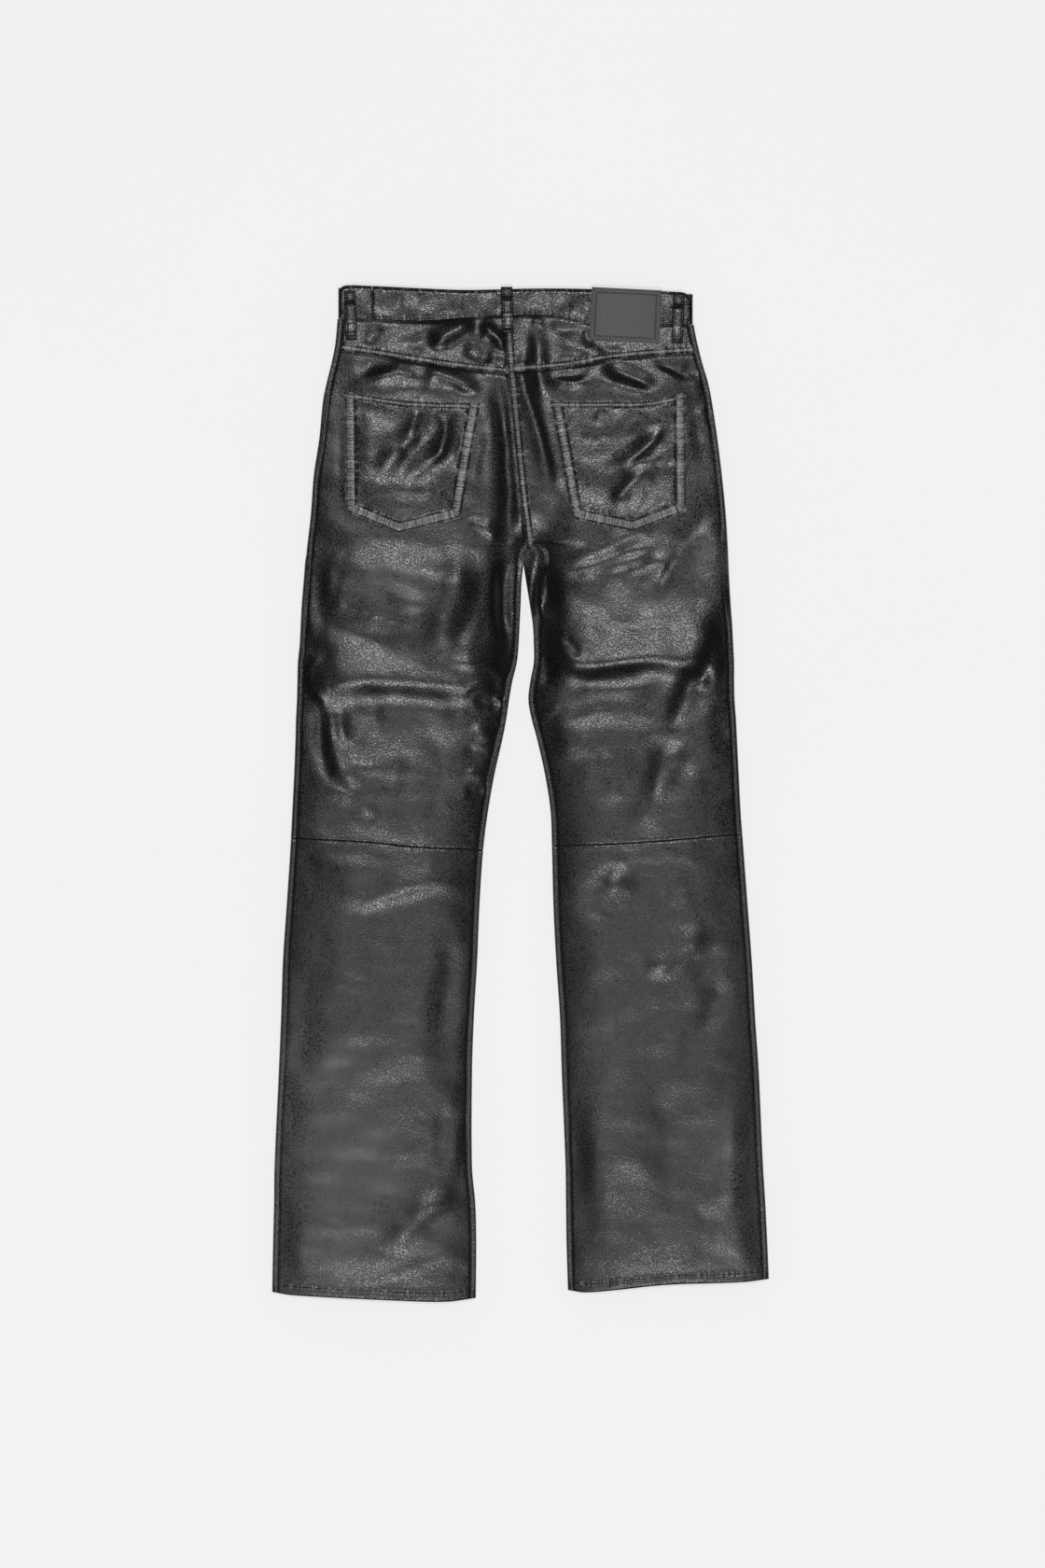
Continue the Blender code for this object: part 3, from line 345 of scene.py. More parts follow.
FINE_CREASES = creases(
    # yoke, left
    (1.6, (5.9, 11.7), 456, 375, 468, 367, 482, 357, 496, 350, 510, 344),
    (-1, 7, 470, 380, 487, 369, 500, 361, 509, 352),
    (1.3, (3.6, 7), 512, 346, 523, 354, 535, 366, 541, 380),
    (-1.4, 5.9, 520, 357, 531, 370, 541, 387),
    (0.8, 7, 503, 379, 511, 370, 516, 384),
    (-0.8, 7, 392, 372, 400, 358, 411, 349),
    (0.7, (7, 9.4), 406, 374, 430, 360, 455, 352, 492, 347),
    (-0.7, 7, 436, 374, 452, 366, 470, 358),
    # above the left pocket
    (1, (7, 5.9), 372, 418, 386, 410, 405, 404, 425, 399, 440, 403, 451, 416),
    (1.2, (5.9, 7), 454, 413, 466, 400, 479, 404, 498, 415, 521, 419),
    (-1, 8.2, 382, 402, 398, 391, 432, 388),
    (-0.8, 8.2, 436, 408, 444, 418, 450, 428),
    (-0.8, 7, 476, 410, 497, 423, 514, 427),
    # left of the seat seam
    (0.8, (11.7, 10.6), 519, 428, 524, 480, 523, 530, 514, 560),
    (-1.4, (9.4, 7), 531, 398, 539, 440, 545, 520, 546, 570, 536, 600, 526, 613),
    (1, (4.7, 7), 500, 556, 515, 562, 527, 571, 531, 584),
    (-0.7, 7, 498, 549, 512, 553, 524, 560),
    (0.7, 8.2, 360, 398, 352, 430, 345, 470, 341, 515),
    (-0.5, 4.7, 364, 436, 365, 500, 366, 545),
    (-0.7, (4.7, 5.9), 518, 462, 512, 490, 506, 520),
    # left pocket
    (-0.8, 5.1, 450, 435, 444, 452, 437, 468),
    (-0.9, (5.1, 6.1), 471, 438, 478, 457, 476, 472, 470, 488, 452, 502),
    (-1.4, 12, 398, 522, 416, 496, 436, 474, 446, 452),
    (-1.5, 11, 428, 524, 448, 502, 470, 482, 478, 458),
    (0.5, (6.1, 7.1), 424, 487, 445, 478, 461, 468),
    (-0.4, 6.1, 384, 518, 391, 536, 398, 548),
    (0.3, 6.1, 438, 508, 456, 521, 462, 534),
    (-0.6, (4.1, 5.1), 476, 526, 486, 540, 488, 548),
    (0.3, 9.2, 398, 436, 396, 460, 390, 486),
    # left thigh
    (0.8, (4.5, 6.7), 335, 578, 333, 620, 333, 660, 337, 700),
    (-0.5, 7.8, 346, 610, 344, 640, 346, 676),
    (-0.5, 6.7, 364, 600, 359, 636, 350, 660),
    (0.4, 2.8, 352, 650, 360, 646, 373, 649),
    (-0.6, (10.1, 9), 523, 612, 511, 640, 501, 665, 489, 688, 477, 702),
    (0.5, (9, 7.8), 523, 612, 529, 640, 532, 668, 528, 690, 504, 702),
    (-1.4, (6.7, 9), 531, 598, 538, 640, 542, 680, 543, 722),
    (0.8, (3.4, 4.5), 320, 700, 330, 700, 339, 705),
    (0.9, 4.5, 336, 688, 341, 703, 334, 713, 331, 723, 334, 736, 345, 750, 354, 768),
    (-1.1, 9, 352, 684, 348, 705, 350, 725, 357, 746),
    (1.1, (6.7, 5.6), 470, 710, 500, 710, 525, 713, 537, 726, 537, 740, 522, 749),
    (0.8, 3.4, 497, 751, 500, 739, 512, 733, 531, 734),
    (-1.3, 5.6, 508, 745, 519, 754, 539, 758),
    (1, (3.4, 4.5), 528, 747, 538, 752, 547, 754),
    (-0.5, 7.8, 398, 752, 402, 775, 404, 800),
    (-0.9, 6.7, 342, 742, 343, 780, 346, 812, 357, 832),
    (-1, 6.7, 364, 752, 367, 784, 373, 802),
    (0.8, 6.7, 352, 762, 355, 800, 363, 823, 382, 836),
    (-0.8, 5.6, 340, 816, 355, 834, 375, 846, 397, 852),
    (0.6, 7.8, 350, 838, 372, 855, 408, 879),
    (0.6, (7.8, 6.7), 368, 812, 388, 822, 412, 826),
    (1, 6.7, 503, 782, 518, 786, 534, 794),
    (-0.7, 5, 497, 801, 510, 806, 526, 808),
    (0.7, 5.6, 498, 826, 511, 831, 524, 838),
    (-0.7, 6.7, 498, 846, 511, 849, 522, 846),
    (-0.5, (7.8, 9), 428, 806, 424, 832, 416, 860),
    (0.4, 11.2, 455, 770, 470, 800, 474, 850),
    # yoke and seat, right
    (1.4, (8.2, 4.7), 562, 348, 566, 372, 558, 396, 563, 420, 572, 445, 580, 472, 588, 505, 594, 540),
    (-1.6, (7, 9.4), 573, 345, 577, 372, 577, 400, 583, 430),
    (0.8, 3.6, 569, 343, 575, 344, 583, 349),
    (-1, 5.9, 588, 350, 606, 353, 630, 352),
    (1, 7, 592, 371, 606, 369, 630, 375, 650, 381),
    (-0.7, 4.7, 592, 387, 610, 384, 632, 384),
    (-1, 3.6, 629, 350, 628, 362, 636, 370),
    (-0.7, 3.6, 640, 370, 652, 377, 672, 375),
    (1.2, (3.6, 4.7), 586, 405, 600, 410, 615, 412, 634, 408),
    (-0.8, 4.7, 588, 403, 610, 402, 634, 399),
    (0.8, 5.9, 640, 404, 660, 412, 680, 417, 704, 421),
    (-1.3, (7, 5.9), 638, 393, 662, 396, 685, 407, 708, 417),
    (0.8, 5.9, 698, 392, 720, 402, 745, 413, 753, 430),
    (-1.2, 4.7, 698, 386, 720, 396, 744, 411),
    (-0.7, 4.7, 732, 392, 742, 399, 750, 404),
    (0.7, (4.7, 5.9), 748, 436, 753, 446, 759, 456),
    (-0.7, 5.9, 744, 440, 748, 470, 752, 500),
    # right pocket
    (-0.6, 5.1, 648, 436, 642, 448, 638, 458),
    (-1, (6.1, 5.1), 713, 450, 703, 468, 686, 484, 664, 499),
    (0.6, 7.1, 636, 498, 662, 486, 688, 470, 700, 452),
    (-0.5, 5.1, 694, 497, 711, 492, 726, 497),
    (-1, 6.1, 694, 500, 674, 518, 656, 541),
    (0.6, 6.1, 668, 503, 690, 494, 714, 488),
    (-0.4, 5.1, 692, 524, 686, 536, 678, 548),
    (-0.4, 7.1, 620, 464, 638, 471, 658, 461),
    (0.3, 7.1, 664, 440, 660, 455, 650, 468),
    # seat and thigh, right
    (-1, 7, 594, 619, 620, 612, 650, 600, 680, 588, 716, 576),
    (0.6, (7, 5.9), 597, 604, 630, 594, 668, 577, 704, 560),
    (-0.8, 5.9, 668, 613, 690, 606, 714, 594),
    (0.5, 5.9, 640, 613, 672, 603, 704, 592),
    (-0.8, 5.9, 704, 630, 712, 606, 722, 586, 738, 570),
    (0.6, 5.9, 704, 644, 713, 616, 723, 598),
    (-0.6, 8.2, 760, 540, 748, 562, 728, 586),
    (0.6, 7, 762, 572, 768, 592, 762, 612),
    (-1.2, 9.4, 588, 598, 592, 640, 597, 674),
    (1.4, (8.6, 10.1), 589, 692, 597, 689, 605, 694, 612, 705, 618, 714, 632, 718, 656, 711, 692, 707,
     736, 705),
    (-1, (11.5, 10.1), 608, 727, 640, 722, 684, 717, 738, 716),
    (-0.9, 5.9, 585, 696, 588, 718, 584, 740),
    (-1, 4.7, 602, 682, 613, 692, 621, 706),
    (0.8, 10.6, 592, 766, 640, 752, 700, 744, 730, 728),
    (0.6, 4.7, 576, 770, 588, 763, 602, 756),
    (-0.6, 8.2, 596, 777, 630, 768, 664, 758),
    (-1.1, 10.6, 757, 706, 750, 716, 742, 730, 728, 760, 708, 786),
    (0.5, 2.9, 760, 751, 771, 751, 784, 751),
    (0.5, 7, 774, 690, 768, 720, 756, 742),
    (-0.5, 8.2, 640, 800, 656, 830, 668, 862),
    (0.5, 11.7, 690, 800, 696, 840, 690, 880),
    (-0.5, 9.4, 712, 800, 704, 830, 706, 862),
    (-1.8, 17, 738, 780, 722, 810, 706, 840, 696, 870, 694, 900),
    (-3, (9, 10), 560, 590, 574, 604, 583, 632, 586, 664),
    (-2.2, 8, 547, 590, 540, 616, 537, 650, 539, 690),
    (-0.6, 9, 686, 634, 700, 612, 716, 590),
    (-2, 8, 764, 688, 757, 708, 752, 744),
    (1.6, (14, 16), 768, 556, 772, 600, 773, 640, 768, 676),
    (1.3, (14, 10), 521, 766, 520, 810, 515, 856),
    # left shin
    (-0.4, 7.4, 322, 912, 360, 914, 404, 916),
    (0.5, (7, 13), 356, 954, 376, 962, 393, 966, 431, 954, 462, 943, 488, 946, 502, 941),
    (-0.6, (14, 10), 362, 974, 394, 978, 436, 966, 480, 956),
    (0.4, 11.9, 311, 1000, 309, 1090, 306, 1184),
    (-0.6, 14.8, 489, 1002, 478, 1070, 471, 1138),
    (0.4, 8.8, 494, 1080, 495, 1120, 492, 1165),
    (0.6, 7.4, 498, 1175, 492, 1220, 486, 1262),
    (-0.6, 8.8, 479, 1178, 474, 1216, 472, 1252),
    (-0.3, 5.9, 500, 1196, 502, 1226, 502, 1254),
    (0.7, (10.3, 16.2), 494, 1276, 455, 1295, 435, 1320, 412, 1340),
    (-0.6, 11.9, 500, 1294, 468, 1312, 446, 1338, 428, 1358),
    (0.3, (4.5, 5.9), 394, 1375, 450, 1358, 497, 1339),
    (-0.3, 7.4, 482, 1372, 491, 1364, 500, 1358),
    (-0.3, 17.7, 372, 1020, 368, 1100, 372, 1180),
    (0.2, 20.9, 420, 1040, 424, 1120, 416, 1210),
    (-0.3, 14.8, 336, 1240, 352, 1290, 356, 1340),
    # right shin
    (-1, 18, 692, 912, 670, 934, 650, 966),
    (-1.1, 14, 772, 1006, 756, 1035, 744, 1060),
    (-0.4, 7.4, 606, 914, 660, 912, 720, 908),
    (-0.6, 11.9, 670, 926, 655, 948, 640, 970),
    (0.4, 7.4, 743, 956, 728, 962, 712, 966),
    (0.6, 10.3, 762, 995, 725, 1025, 692, 1046),
    (-0.6, 11.9, 753, 1015, 722, 1045, 698, 1071),
    (-0.6, 11.9, 782, 1047, 765, 1080, 750, 1113),
    (-0.6, 14.8, 617, 1196, 625, 1260, 636, 1324),
    (-1, 12, 758, 1286, 756, 1320, 754, 1354),
    (-0.3, 14.8, 701, 1312, 700, 1334, 698, 1356),
    (0.4, 13.3, 785, 1166, 784, 1240, 787, 1306),
    (0.2, 20.9, 664, 1080, 676, 1150, 680, 1230),
    (-0.3, 17.7, 722, 1150, 728, 1210, 724, 1270),
    (0.2, 14.8, 640, 1000, 648, 1060, 644, 1120),
)

# Troughs under the garment, seen from below.
FRONT_CREASES = creases(
    # left front
    (0.6, (10, 14), 350, 520, 400, 560, 470, 600),
    (0.5, (8, 12), 362, 600, 420, 622, 500, 628),
    (0.7, (12, 16), 345, 700, 400, 716, 460, 712, 516, 700),
    (0.6, 10, 352, 770, 410, 760, 470, 776),
    (0.6, (12, 18), 348, 960, 400, 980, 470, 964),
    (0.5, 14, 380, 1060, 372, 1140, 384, 1220),
    (0.6, (12, 16), 330, 1300, 400, 1284, 460, 1310),
    # right front
    (0.6, (14, 10), 752, 520, 700, 566, 630, 604),
    (0.7, (12, 16), 610, 690, 670, 706, 740, 694),
    (0.5, (10, 12), 612, 760, 680, 774, 750, 756),
    (0.6, (12, 16), 620, 950, 690, 976, 760, 956),
    (0.5, 14, 700, 1050, 716, 1130, 706, 1210),
    (0.6, (12, 16), 660, 1310, 710, 1290, 790, 1304),
)

# ---------------------------------------------------------------- sewn lines, pockets and loops
# A sewn line runs midway between two rows of stitches, or is one row where apart is 0. pucker is how
# strongly the leather gathers along it.
LINE_POINTS = 24        # points of a sewn line
YOKE_ROWS = 2.5         # half the distance between the yoke's two rows
YOKE_INSET = 3.7        # the middle of the two rows above the seam
YOKE_ENDS = {-1: (-192.0, -15.0), 1: (-9.0, 186.0)}
SEAT_ROWS = 3.0
SEAT_INSET = 3.8
SEAT_ROW_TOP, SEAT_ROW_YOKE, SEAT_ROW_END = 494.0, 455.0, 268.0
HEM_ENDS = {-1: (-258.0, -50.0), 1: (54.0, 259.0)}
POCKET_ROWS = 4.9
POCKET_INSET = 6.5
OPENING_ROWS = 2.6
OPENING_INSET = 4.0
BORDER_POINTS = (0.0, 0.5, 1.0, 1.5, 2.1, 2.8, 3.8, 5.2, 6.6, 8.0, 9.3, 10.3, 11.0, 11.6, 12.3, 13.2, 14.6)
EDGE_ROW = 2.2          # the band's rows from its edges
BAND_ROW_ENDS = (-190.0, 180.0)

POCKETS = {
    -1: pocket(((370, 548), (427, 572), (494, 555)), (369, 420), (385, 421.5), (400, 424), (420, 427),
               (440, 429.5), (462, 430.5), (490, 431), (515, 432)),
    1: pocket(((613, 556), (679, 570), (736, 548)), (590, 430), (615, 430), (640, 430), (680, 430),
              (700, 428.5), (720, 424.5), (735, 420)),
}
BACK_LOOPS = table(
    "name top_x top_y bottom_x bottom_y",
    ("belt_loop_side_left", -183.0, 539.0, -181.5, 486.5),
    ("belt_loop_back", -15.0, 543.0, -13.5, 493.5),
    ("belt_loop_side_right", 169.5, 535.5, 167.5, 482.5),
)


# ---------------------------------------------------------------- lines and levels
class Line:
    """A smooth line through one named column of a table, against another."""

    def __init__(self, rows, place, value):
        knots = sorted((getattr(row, place), getattr(row, value)) for row in rows)
        self.at, self.value = np.array(knots, float).T
        index = np.arange(len(knots))
        before, after = np.maximum(index - 1, 0), np.minimum(index + 1, len(knots) - 1)
        self.slope = (self.value[after] - self.value[before]) / (self.at[after] - self.at[before])

    def __call__(self, where):
        where = np.clip(where, self.at[0], self.at[-1])
        index = np.clip(np.searchsorted(self.at, where) - 1, 0, len(self.at) - 2)
        span = self.at[index + 1] - self.at[index]
        t = (where - self.at[index]) / span
        return (self.value[index] * (1 + 2 * t) * (1 - t) ** 2 + self.slope[index] * span * t * (1 - t) ** 2
                + self.value[index + 1] * t * t * (3 - 2 * t)
                - self.slope[index + 1] * span * t * t * (1 - t))

    def straight(self, where):
        """The same column with straight runs between its rows."""
        return np.interp(where, self.at, self.value)


def both_sides(rows, left, right):
    return {-1: Line(rows, "y", left), 1: Line(rows, "y", right)}


def within(value):
    """A share, kept between 0 and 1."""
    return np.clip(value, 0.0, 1.0)


def ease(value):
    """0 to 1 with a soft start and end."""
    value = within(value)
    return value * value * (3.0 - 2.0 * value)


def bell(away, width):
    """1 on a line, and softly down to 0 beside it."""
    return np.exp(-(away / width) ** 2)


def spread(start, end, share):
    return start + (end - start) * share


def by_turn(turn, first, middle, last):
    """What holds up to turn 1, from there to turn 2, and past it."""
    return np.where(turn < 1, first, np.where(turn > 2, last, middle))


trunk_edge = both_sides(TRUNK, "left", "right")
leg_outer = both_sides(LEGS, "left_outer", "right_outer")
leg_inner = both_sides(LEGS, "left_inner", "right_inner")
inner_strip = both_sides(INNER_STRIP, "left", "right")
seat_seam = Line(SEAT_SEAM, "y", "x")
outer_roll, inner_roll, rest_line = (Line(LEVELS, "y", column) for column in ("outer", "inner", "rest"))
tuck_fold, tuck_run = Line(TUCK, "y", "fold"), Line(TUCK, "y", "run")
band_upper_edge, band_seam = Line(BAND_UPPER_EDGE, "x", "y"), Line(BAND_SEAM, "x", "y")
yoke_seam, knee_seam, hem_edge = ({side: Line(seams[side], "x", "y") for side in seams}
                                  for seams in (YOKE_SEAM, KNEE_SEAM, HEM))


def outer_edge(side, y):
    mix = ease((TRUNK[-1].y - y) / (TRUNK[-1].y - CROTCH_TIP))
    return trunk_edge[side](y) * (1 - mix) + leg_outer[side](y) * mix


def centre_front(y):
    low = spread(LEGS[0].right_inner, SEAT_END.x + 1.0, (y - CROTCH_TIP) / (SEAT_END.y - CROTCH_TIP))
    high = spread(SEAT_END.x + 1.0, CENTRE_FRONT_WAIST, (y - SEAT_END.y) / (TRUNK[0].y - SEAT_END.y))
    return np.where(y < SEAT_END.y, low, high)


def inner_edge(side, y):
    return np.where(y >= CROTCH_TIP, centre_front(y) + side * FRONTS_APART, leg_inner[side](y))


def front_level(y):
    return FRONT_LIFT * ease((y - FRONT_RAISED_FROM) / (FRONT_RAISED_TO - FRONT_RAISED_FROM))


def from_path(x, y, path, far=FAR):
    """Distance from a path, positive on its left hand, the way walked along it, and its whole length."""
    signed = np.full(x.shape, far)
    along = np.zeros_like(x)
    walked = 0.0
    for (ax, ay), (bx, by) in zip(path, path[1:]):
        length = math.dist((ax, ay), (bx, by))
        dx, dy = (bx - ax) / length, (by - ay) / length
        forward = np.clip((x - ax) * dx + (y - ay) * dy, 0.0, length)
        away = np.hypot(x - ax - forward * dx, y - ay - forward * dy)
        closer = away < np.abs(signed)
        side = np.where((y - ay) * dx - (x - ax) * dy < 0, -1.0, 1.0)
        signed = np.where(closer, away * side, signed)
        along = np.where(closer, walked + forward, along)
        walked += length
    return signed, along, walked


def crease_relief(x, y, creases):
    """Sum of creases at garment places."""
    total = np.zeros_like(x)
    for crease in creases:
        widest = 3 * max(crease.right, crease.left)
        xs, ys = zip(*crease.path)
        near = ((x > min(xs) - widest) & (x < max(xs) + widest)
                & (y > min(ys) - widest) & (y < max(ys) + widest))
        if near.any():
            away, along, whole = from_path(x[near], y[near], crease.path, far=1e9)
            share = along / whole
            fade = ease(np.minimum(share, 1 - share) * CREASE_FADE)
            total[near] += crease.height * fade * bell(away, np.where(away < 0, crease.right, crease.left))
    return total


def offset_path(path, away):
    """The path moved to its left hand, with mitred corners."""
    points = np.array(path)
    steps = np.diff(points, axis=0)
    steps /= np.linalg.norm(steps, axis=1)[:, None]
    normals = np.stack([-steps[:, 1], steps[:, 0]], axis=1)
    before = np.concatenate([normals[:1], normals])
    mitre = before + np.concatenate([normals, normals[-1:]])
    mitre /= (mitre * before).sum(axis=1)[:, None]
    return [tuple(point) for point in points + away * mitre]


def edge_distances(side, x, y):
    """How far a place is from the garment's outer folded edge, and from its inner one."""
    from_outer = (x - outer_edge(side, y)) * -side
    from_inner = np.where(y < SEAT_END.y, (x - inner_edge(side, y)) * side - (inner_strip[side](y) - STRIP),
                          np.hypot(x - SEAT_END.x, y - SEAT_END.y))
    return from_outer, from_inner


def from_inseam(side, x, y):
    return (x - inner_edge(side, y)) * side - inner_strip[side](y)


def drop(away, run):
    """1 at a folded edge, and 0 from a run inside it."""
    return (1.0 - within((away - DOME_START) / run)) ** DOME_POWER


def fine_relief(x, y, from_edge):
    """Fine creases, which fade out right at the folded edges."""
    return crease_relief(x, y, FINE_CREASES) * ease((from_edge - EDGE_CALM) / 7.0 + 0.15)


def crumple(x, y, size, seed):
    """Soft unevenness, mostly between -1 and 1, whose swells are about size apart."""
    draw = np.random.default_rng(seed)
    total = np.zeros_like(x)
    for _ in range(WAVES):
        angle = draw.uniform(0.0, math.tau)
        length = size * draw.uniform(0.7, 1.6)
        start = draw.uniform(0.0, math.tau)
        total += np.sin((x * math.cos(angle) + y * math.sin(angle)) * math.tau / length + start)
    return total / math.sqrt(WAVES)


# ---------------------------------------------------------------- making sheets
def shares(length, step, edges=(0.0, 0.7, 1.6, 2.8, 4.4)):
    """Shares of a length from 0 to 1, a step apart and closer near both ends."""
    first = np.array(edges[:-1])
    count = max(1, round((length - 2 * edges[-1]) / step))
    middle = np.linspace(edges[-1], length - edges[-1], count + 1)
    return np.concatenate([first, middle, length - first[::-1]]) / length


def nothing_selected():
    if bpy.context.object and bpy.context.object.mode != "OBJECT":
        bpy.ops.object.mode_set(mode="OBJECT")
    bpy.ops.object.select_all(action="DESELECT")


def corners_of(mesh):
    """The places of a mesh's corners in metres, one row each."""
    corners = np.empty(3 * len(mesh.vertices))
    mesh.vertices.foreach_get("co", corners)
    return corners.reshape(-1, 3)


def finish_piece(piece, node, finish):
    """Applies a piece's modifiers, smooths it and puts it in its node's place."""
    nothing_selected()
    piece.select_set(True)
    bpy.context.view_layer.objects.active = piece
    for modifier in list(piece.modifiers):
        bpy.ops.object.modifier_apply(modifier=modifier.name)
    bpy.ops.object.shade_smooth_by_angle(angle=math.radians(SHARP_EDGE))
    piece.data.materials.clear()
    piece.data.materials.append(finish)
    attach(piece, "root")
    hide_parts(node)


def mark_sewing(mesh, lines):
    """Stores how each point lies to the nearest double row: way along, distance, spacing, and presence."""
    x, y, z = (corners_of(mesh) * 1000.0).T
    place = np.zeros((len(x), 3))
    place[:, 1] = FAR
    presence = np.zeros(len(x))
    nearest = np.full(len(x), FAR)
    for line in lines:
        away, along, _ = from_path(x, y, line.path)
        from_rows = np.abs(away) - line.apart
        closer = from_rows < nearest
        nearest = np.where(closer, from_rows, nearest)
        place[closer] = np.stack([along, np.abs(away), np.full(len(x), line.apart)], axis=-1)[closer]
        presence = np.where(closer, line.pucker, presence)
    # Share of the painted sheen, with none where the leather lies on the floor.
    sheen_and_wear = rubbed(x, y) * ease((z - UNDERNEATH) / 2.0)
    mesh.attributes.new("sewing", "FLOAT_VECTOR", "POINT").data.foreach_set("vector", place.ravel())
    for name, values in (("pucker", presence), ("rubbed", sheen_and_wear)):
        mesh.attributes.new(name, "FLOAT", "POINT").data.foreach_set("value", values)


def sew(node, finish, wall, across, along, place, lines=()):
    """Lays one sheet of leather whose corner at each share across and along stands where place() says.

    The leather lies in soft folds and isn't stretched, so its cut has the sheet's own widest row, longest
    column and area.
    """
    columns, rows = len(across) - 1, len(along) - 1
    nothing_selected()
    bpy.ops.mesh.primitive_grid_add(x_subdivisions=columns, y_subdivisions=rows, size=1.0)
    piece = bpy.context.object
    piece.name = "sewn_" + node
    mesh = piece.data
    column, row = np.rint((corners_of(mesh)[:, :2] + 0.5) * (columns, rows)).astype(int).T
    places = np.stack(place(across[column], along[row]), axis=-1)
    mesh.vertices.foreach_set("co", (places / 1000.0).ravel())
    mesh.update()
    mark_sewing(mesh, lines)
    grid = corners_of(mesh).reshape(len(along), len(across), 3)
    solid = piece.modifiers.new("wall", "SOLIDIFY")
    solid.thickness = wall / 1000.0
    solid.offset = -1.0
    solid.use_quality_normals = True
    finish_piece(piece, node, finish)


# ---------------------------------------------------------------- back panels
SEAM_DEPTH = 0.3
SEAM_WIDTH = 0.8        # of the rounding beside a seam
LAP_RISE = 0.75         # turnings beneath an edge raise it by this, out to about LAP_RUN
LAP_RUN = 13.0
LAP_ROUND = 0.85
UNDER_DEPTH = 0.7
UNDER_WIDTH = 2.4
HEM_ROUND = 0.9         # depth and width of the hem's rounded edge
HEM_BEND = 1.4          # the doubled leather ends over this length, at its row
EDGE_CALM = 3.0         # creases and waves die out this near a folded edge
FIRST_REACH = 160.0     # a panel's width, from which its points start to settle


def seam_dip(away):
    """A pressed seam: the leather turns down beside it."""
    return -SEAM_DEPTH * bell(away, SEAM_WIDTH)


def lap_over(away):
    """An edge that lies over its neighbour: raised by the turning beneath it, and rounded off."""
    return LAP_RISE * bell(away, LAP_RUN) - LAP_ROUND * bell(away, SEAM_WIDTH)


def lap_under(away):
    return -UNDER_DEPTH * bell(away, UNDER_WIDTH)


def turned_hem(away):
    """The turned-up hem: twice the leather from the edge to the row of stitches."""
    return LAP_RISE * (1.0 - ease((away - HEM_DEPTH + 0.6) / HEM_BEND)) - HEM_ROUND * bell(away, HEM_ROUND)


def rubbed(x, y):
    """How much the leather is handled, and how strongly a paler sheen is painted there, from 0 to a little
    over 1.
    """
    return np.clip(crease_relief(x, y, RUBBED_AND_SHEEN), 0.0, 1.2)


def soft_waves(x, y):
    """Waves that lie across the legs, where the leather has slid and relaxed."""
    return (WAVE_BASE + WAVE_MORE * rubbed(x, y)) * crumple(x * WAVE_STRETCH, y, WAVE_SIZE, 13)


def panel_level(side, x, y):
    """Outer face of any back panel or yoke, with its folds, creases, seams, laps and hem."""
    from_outer, from_inner = edge_distances(side, x, y)
    from_edge = np.minimum(from_outer, from_inner)
    rest = rest_line(y)
    level = rest - (rest - outer_roll(y)) * drop(from_outer, DOME_RUN)
    level -= (rest - inner_roll(y)) * drop(from_inner, INNER_RUN)
    large = crease_relief(x, y, LARGE_FOLDS) + crease_relief(x, y, SWELLS)
    level += large * ease((from_edge - FOLD_START) / FOLD_RUN)
    level += fine_relief(x, y, from_edge)
    level = np.maximum(level, front_level(y) + LOWEST_BACK)
    level += soft_waves(x, y) * ease((from_edge - EDGE_CALM) / 14.0)
    level += (0.14 + 0.08 * ease(y / 120.0)) * crumple(x, y, 40.0, 11) + 0.03 * crumple(x, y, 12.0, 12)
    level += seam_dip(from_outer - STRIP)
    seat_form = (lap_over if side > 0 else lap_under)(x - seat_seam(y))
    level += np.where(y >= SEAT_END.y, seat_form, seam_dip(from_inseam(side, x, y)))
    yoke_away = y - yoke_seam[side](x)
    level += np.where(yoke_away > 0, lap_over(yoke_away), lap_under(yoke_away))
    level += lap_under(y - band_seam(x))
    level += seam_dip(y - knee_seam[side](x)) + turned_hem(y - hem_edge[side](x))
    return level


def tongue_drop(tongue, past_seam):
    """How far an allowance lies beneath the next panel."""
    return TONGUE_DROP * ease((past_seam + SEAM) / TONGUE_BEND) if tongue else 0.0


def back_panel(name, side, upper, lower, step, lines, finish, tongue=0.0):
    """A back panel between its side seam and its inner seam, and between two cross seams.

    A tongue is the allowance that runs on past the upper seam, beneath the next panel.
    """
    def inner(y):
        above = seat_seam(y) + side * SEAM / 2
        below = inner_edge(side, y) + side * (inner_strip[side](y) + SIDE_GAP)
        return spread(above, below, ease((SEAT_END.y - y) / SEAT_TURN))

    def place(across, along):
        x = outer_edge(side, upper(0.0)) - side * (STRIP + across * FIRST_REACH)
        for _ in range(ROUNDS):
            y = spread(lower(x) + SEAM / 2, upper(x) - SEAM / 2 + tongue, along)
            seam_x = outer_edge(side, y) - side * (STRIP + SIDE_GAP)
            left, right = (seam_x, inner(y)) if side < 0 else (inner(y), seam_x)
            x = spread(left, right, across)
        return x, y, panel_level(side, x, y) - tongue_drop(tongue, y - upper(x))

    top, bottom = upper(side * LEG_MIDDLE), lower(side * LEG_MIDDLE)
    middle = 0.5 * (top + bottom)
    across = shares(abs(outer_edge(side, middle) - inner(middle)) - STRIP, step)
    sew(name, finish, WALL, across, shares(top - bottom, step), place, lines)


# ---------------------------------------------------------------- front panels
def rolled(share, edge, towards, strip, low, high):
    """A rolled edge's profile: from the underside at share 0, round the edge, to the seam on top."""
    radius = (high - low) / 2
    bulge = FOLD_TIGHTNESS * radius
    angle = np.pi * within(share / ARC)
    run = within((share - ARC) / (1.0 - ARC))
    x = edge + towards * (bulge * (1.0 - np.sin(angle)) + run * (strip - SIDE_GAP - bulge))
    return x, low + radius - radius * np.cos(angle)


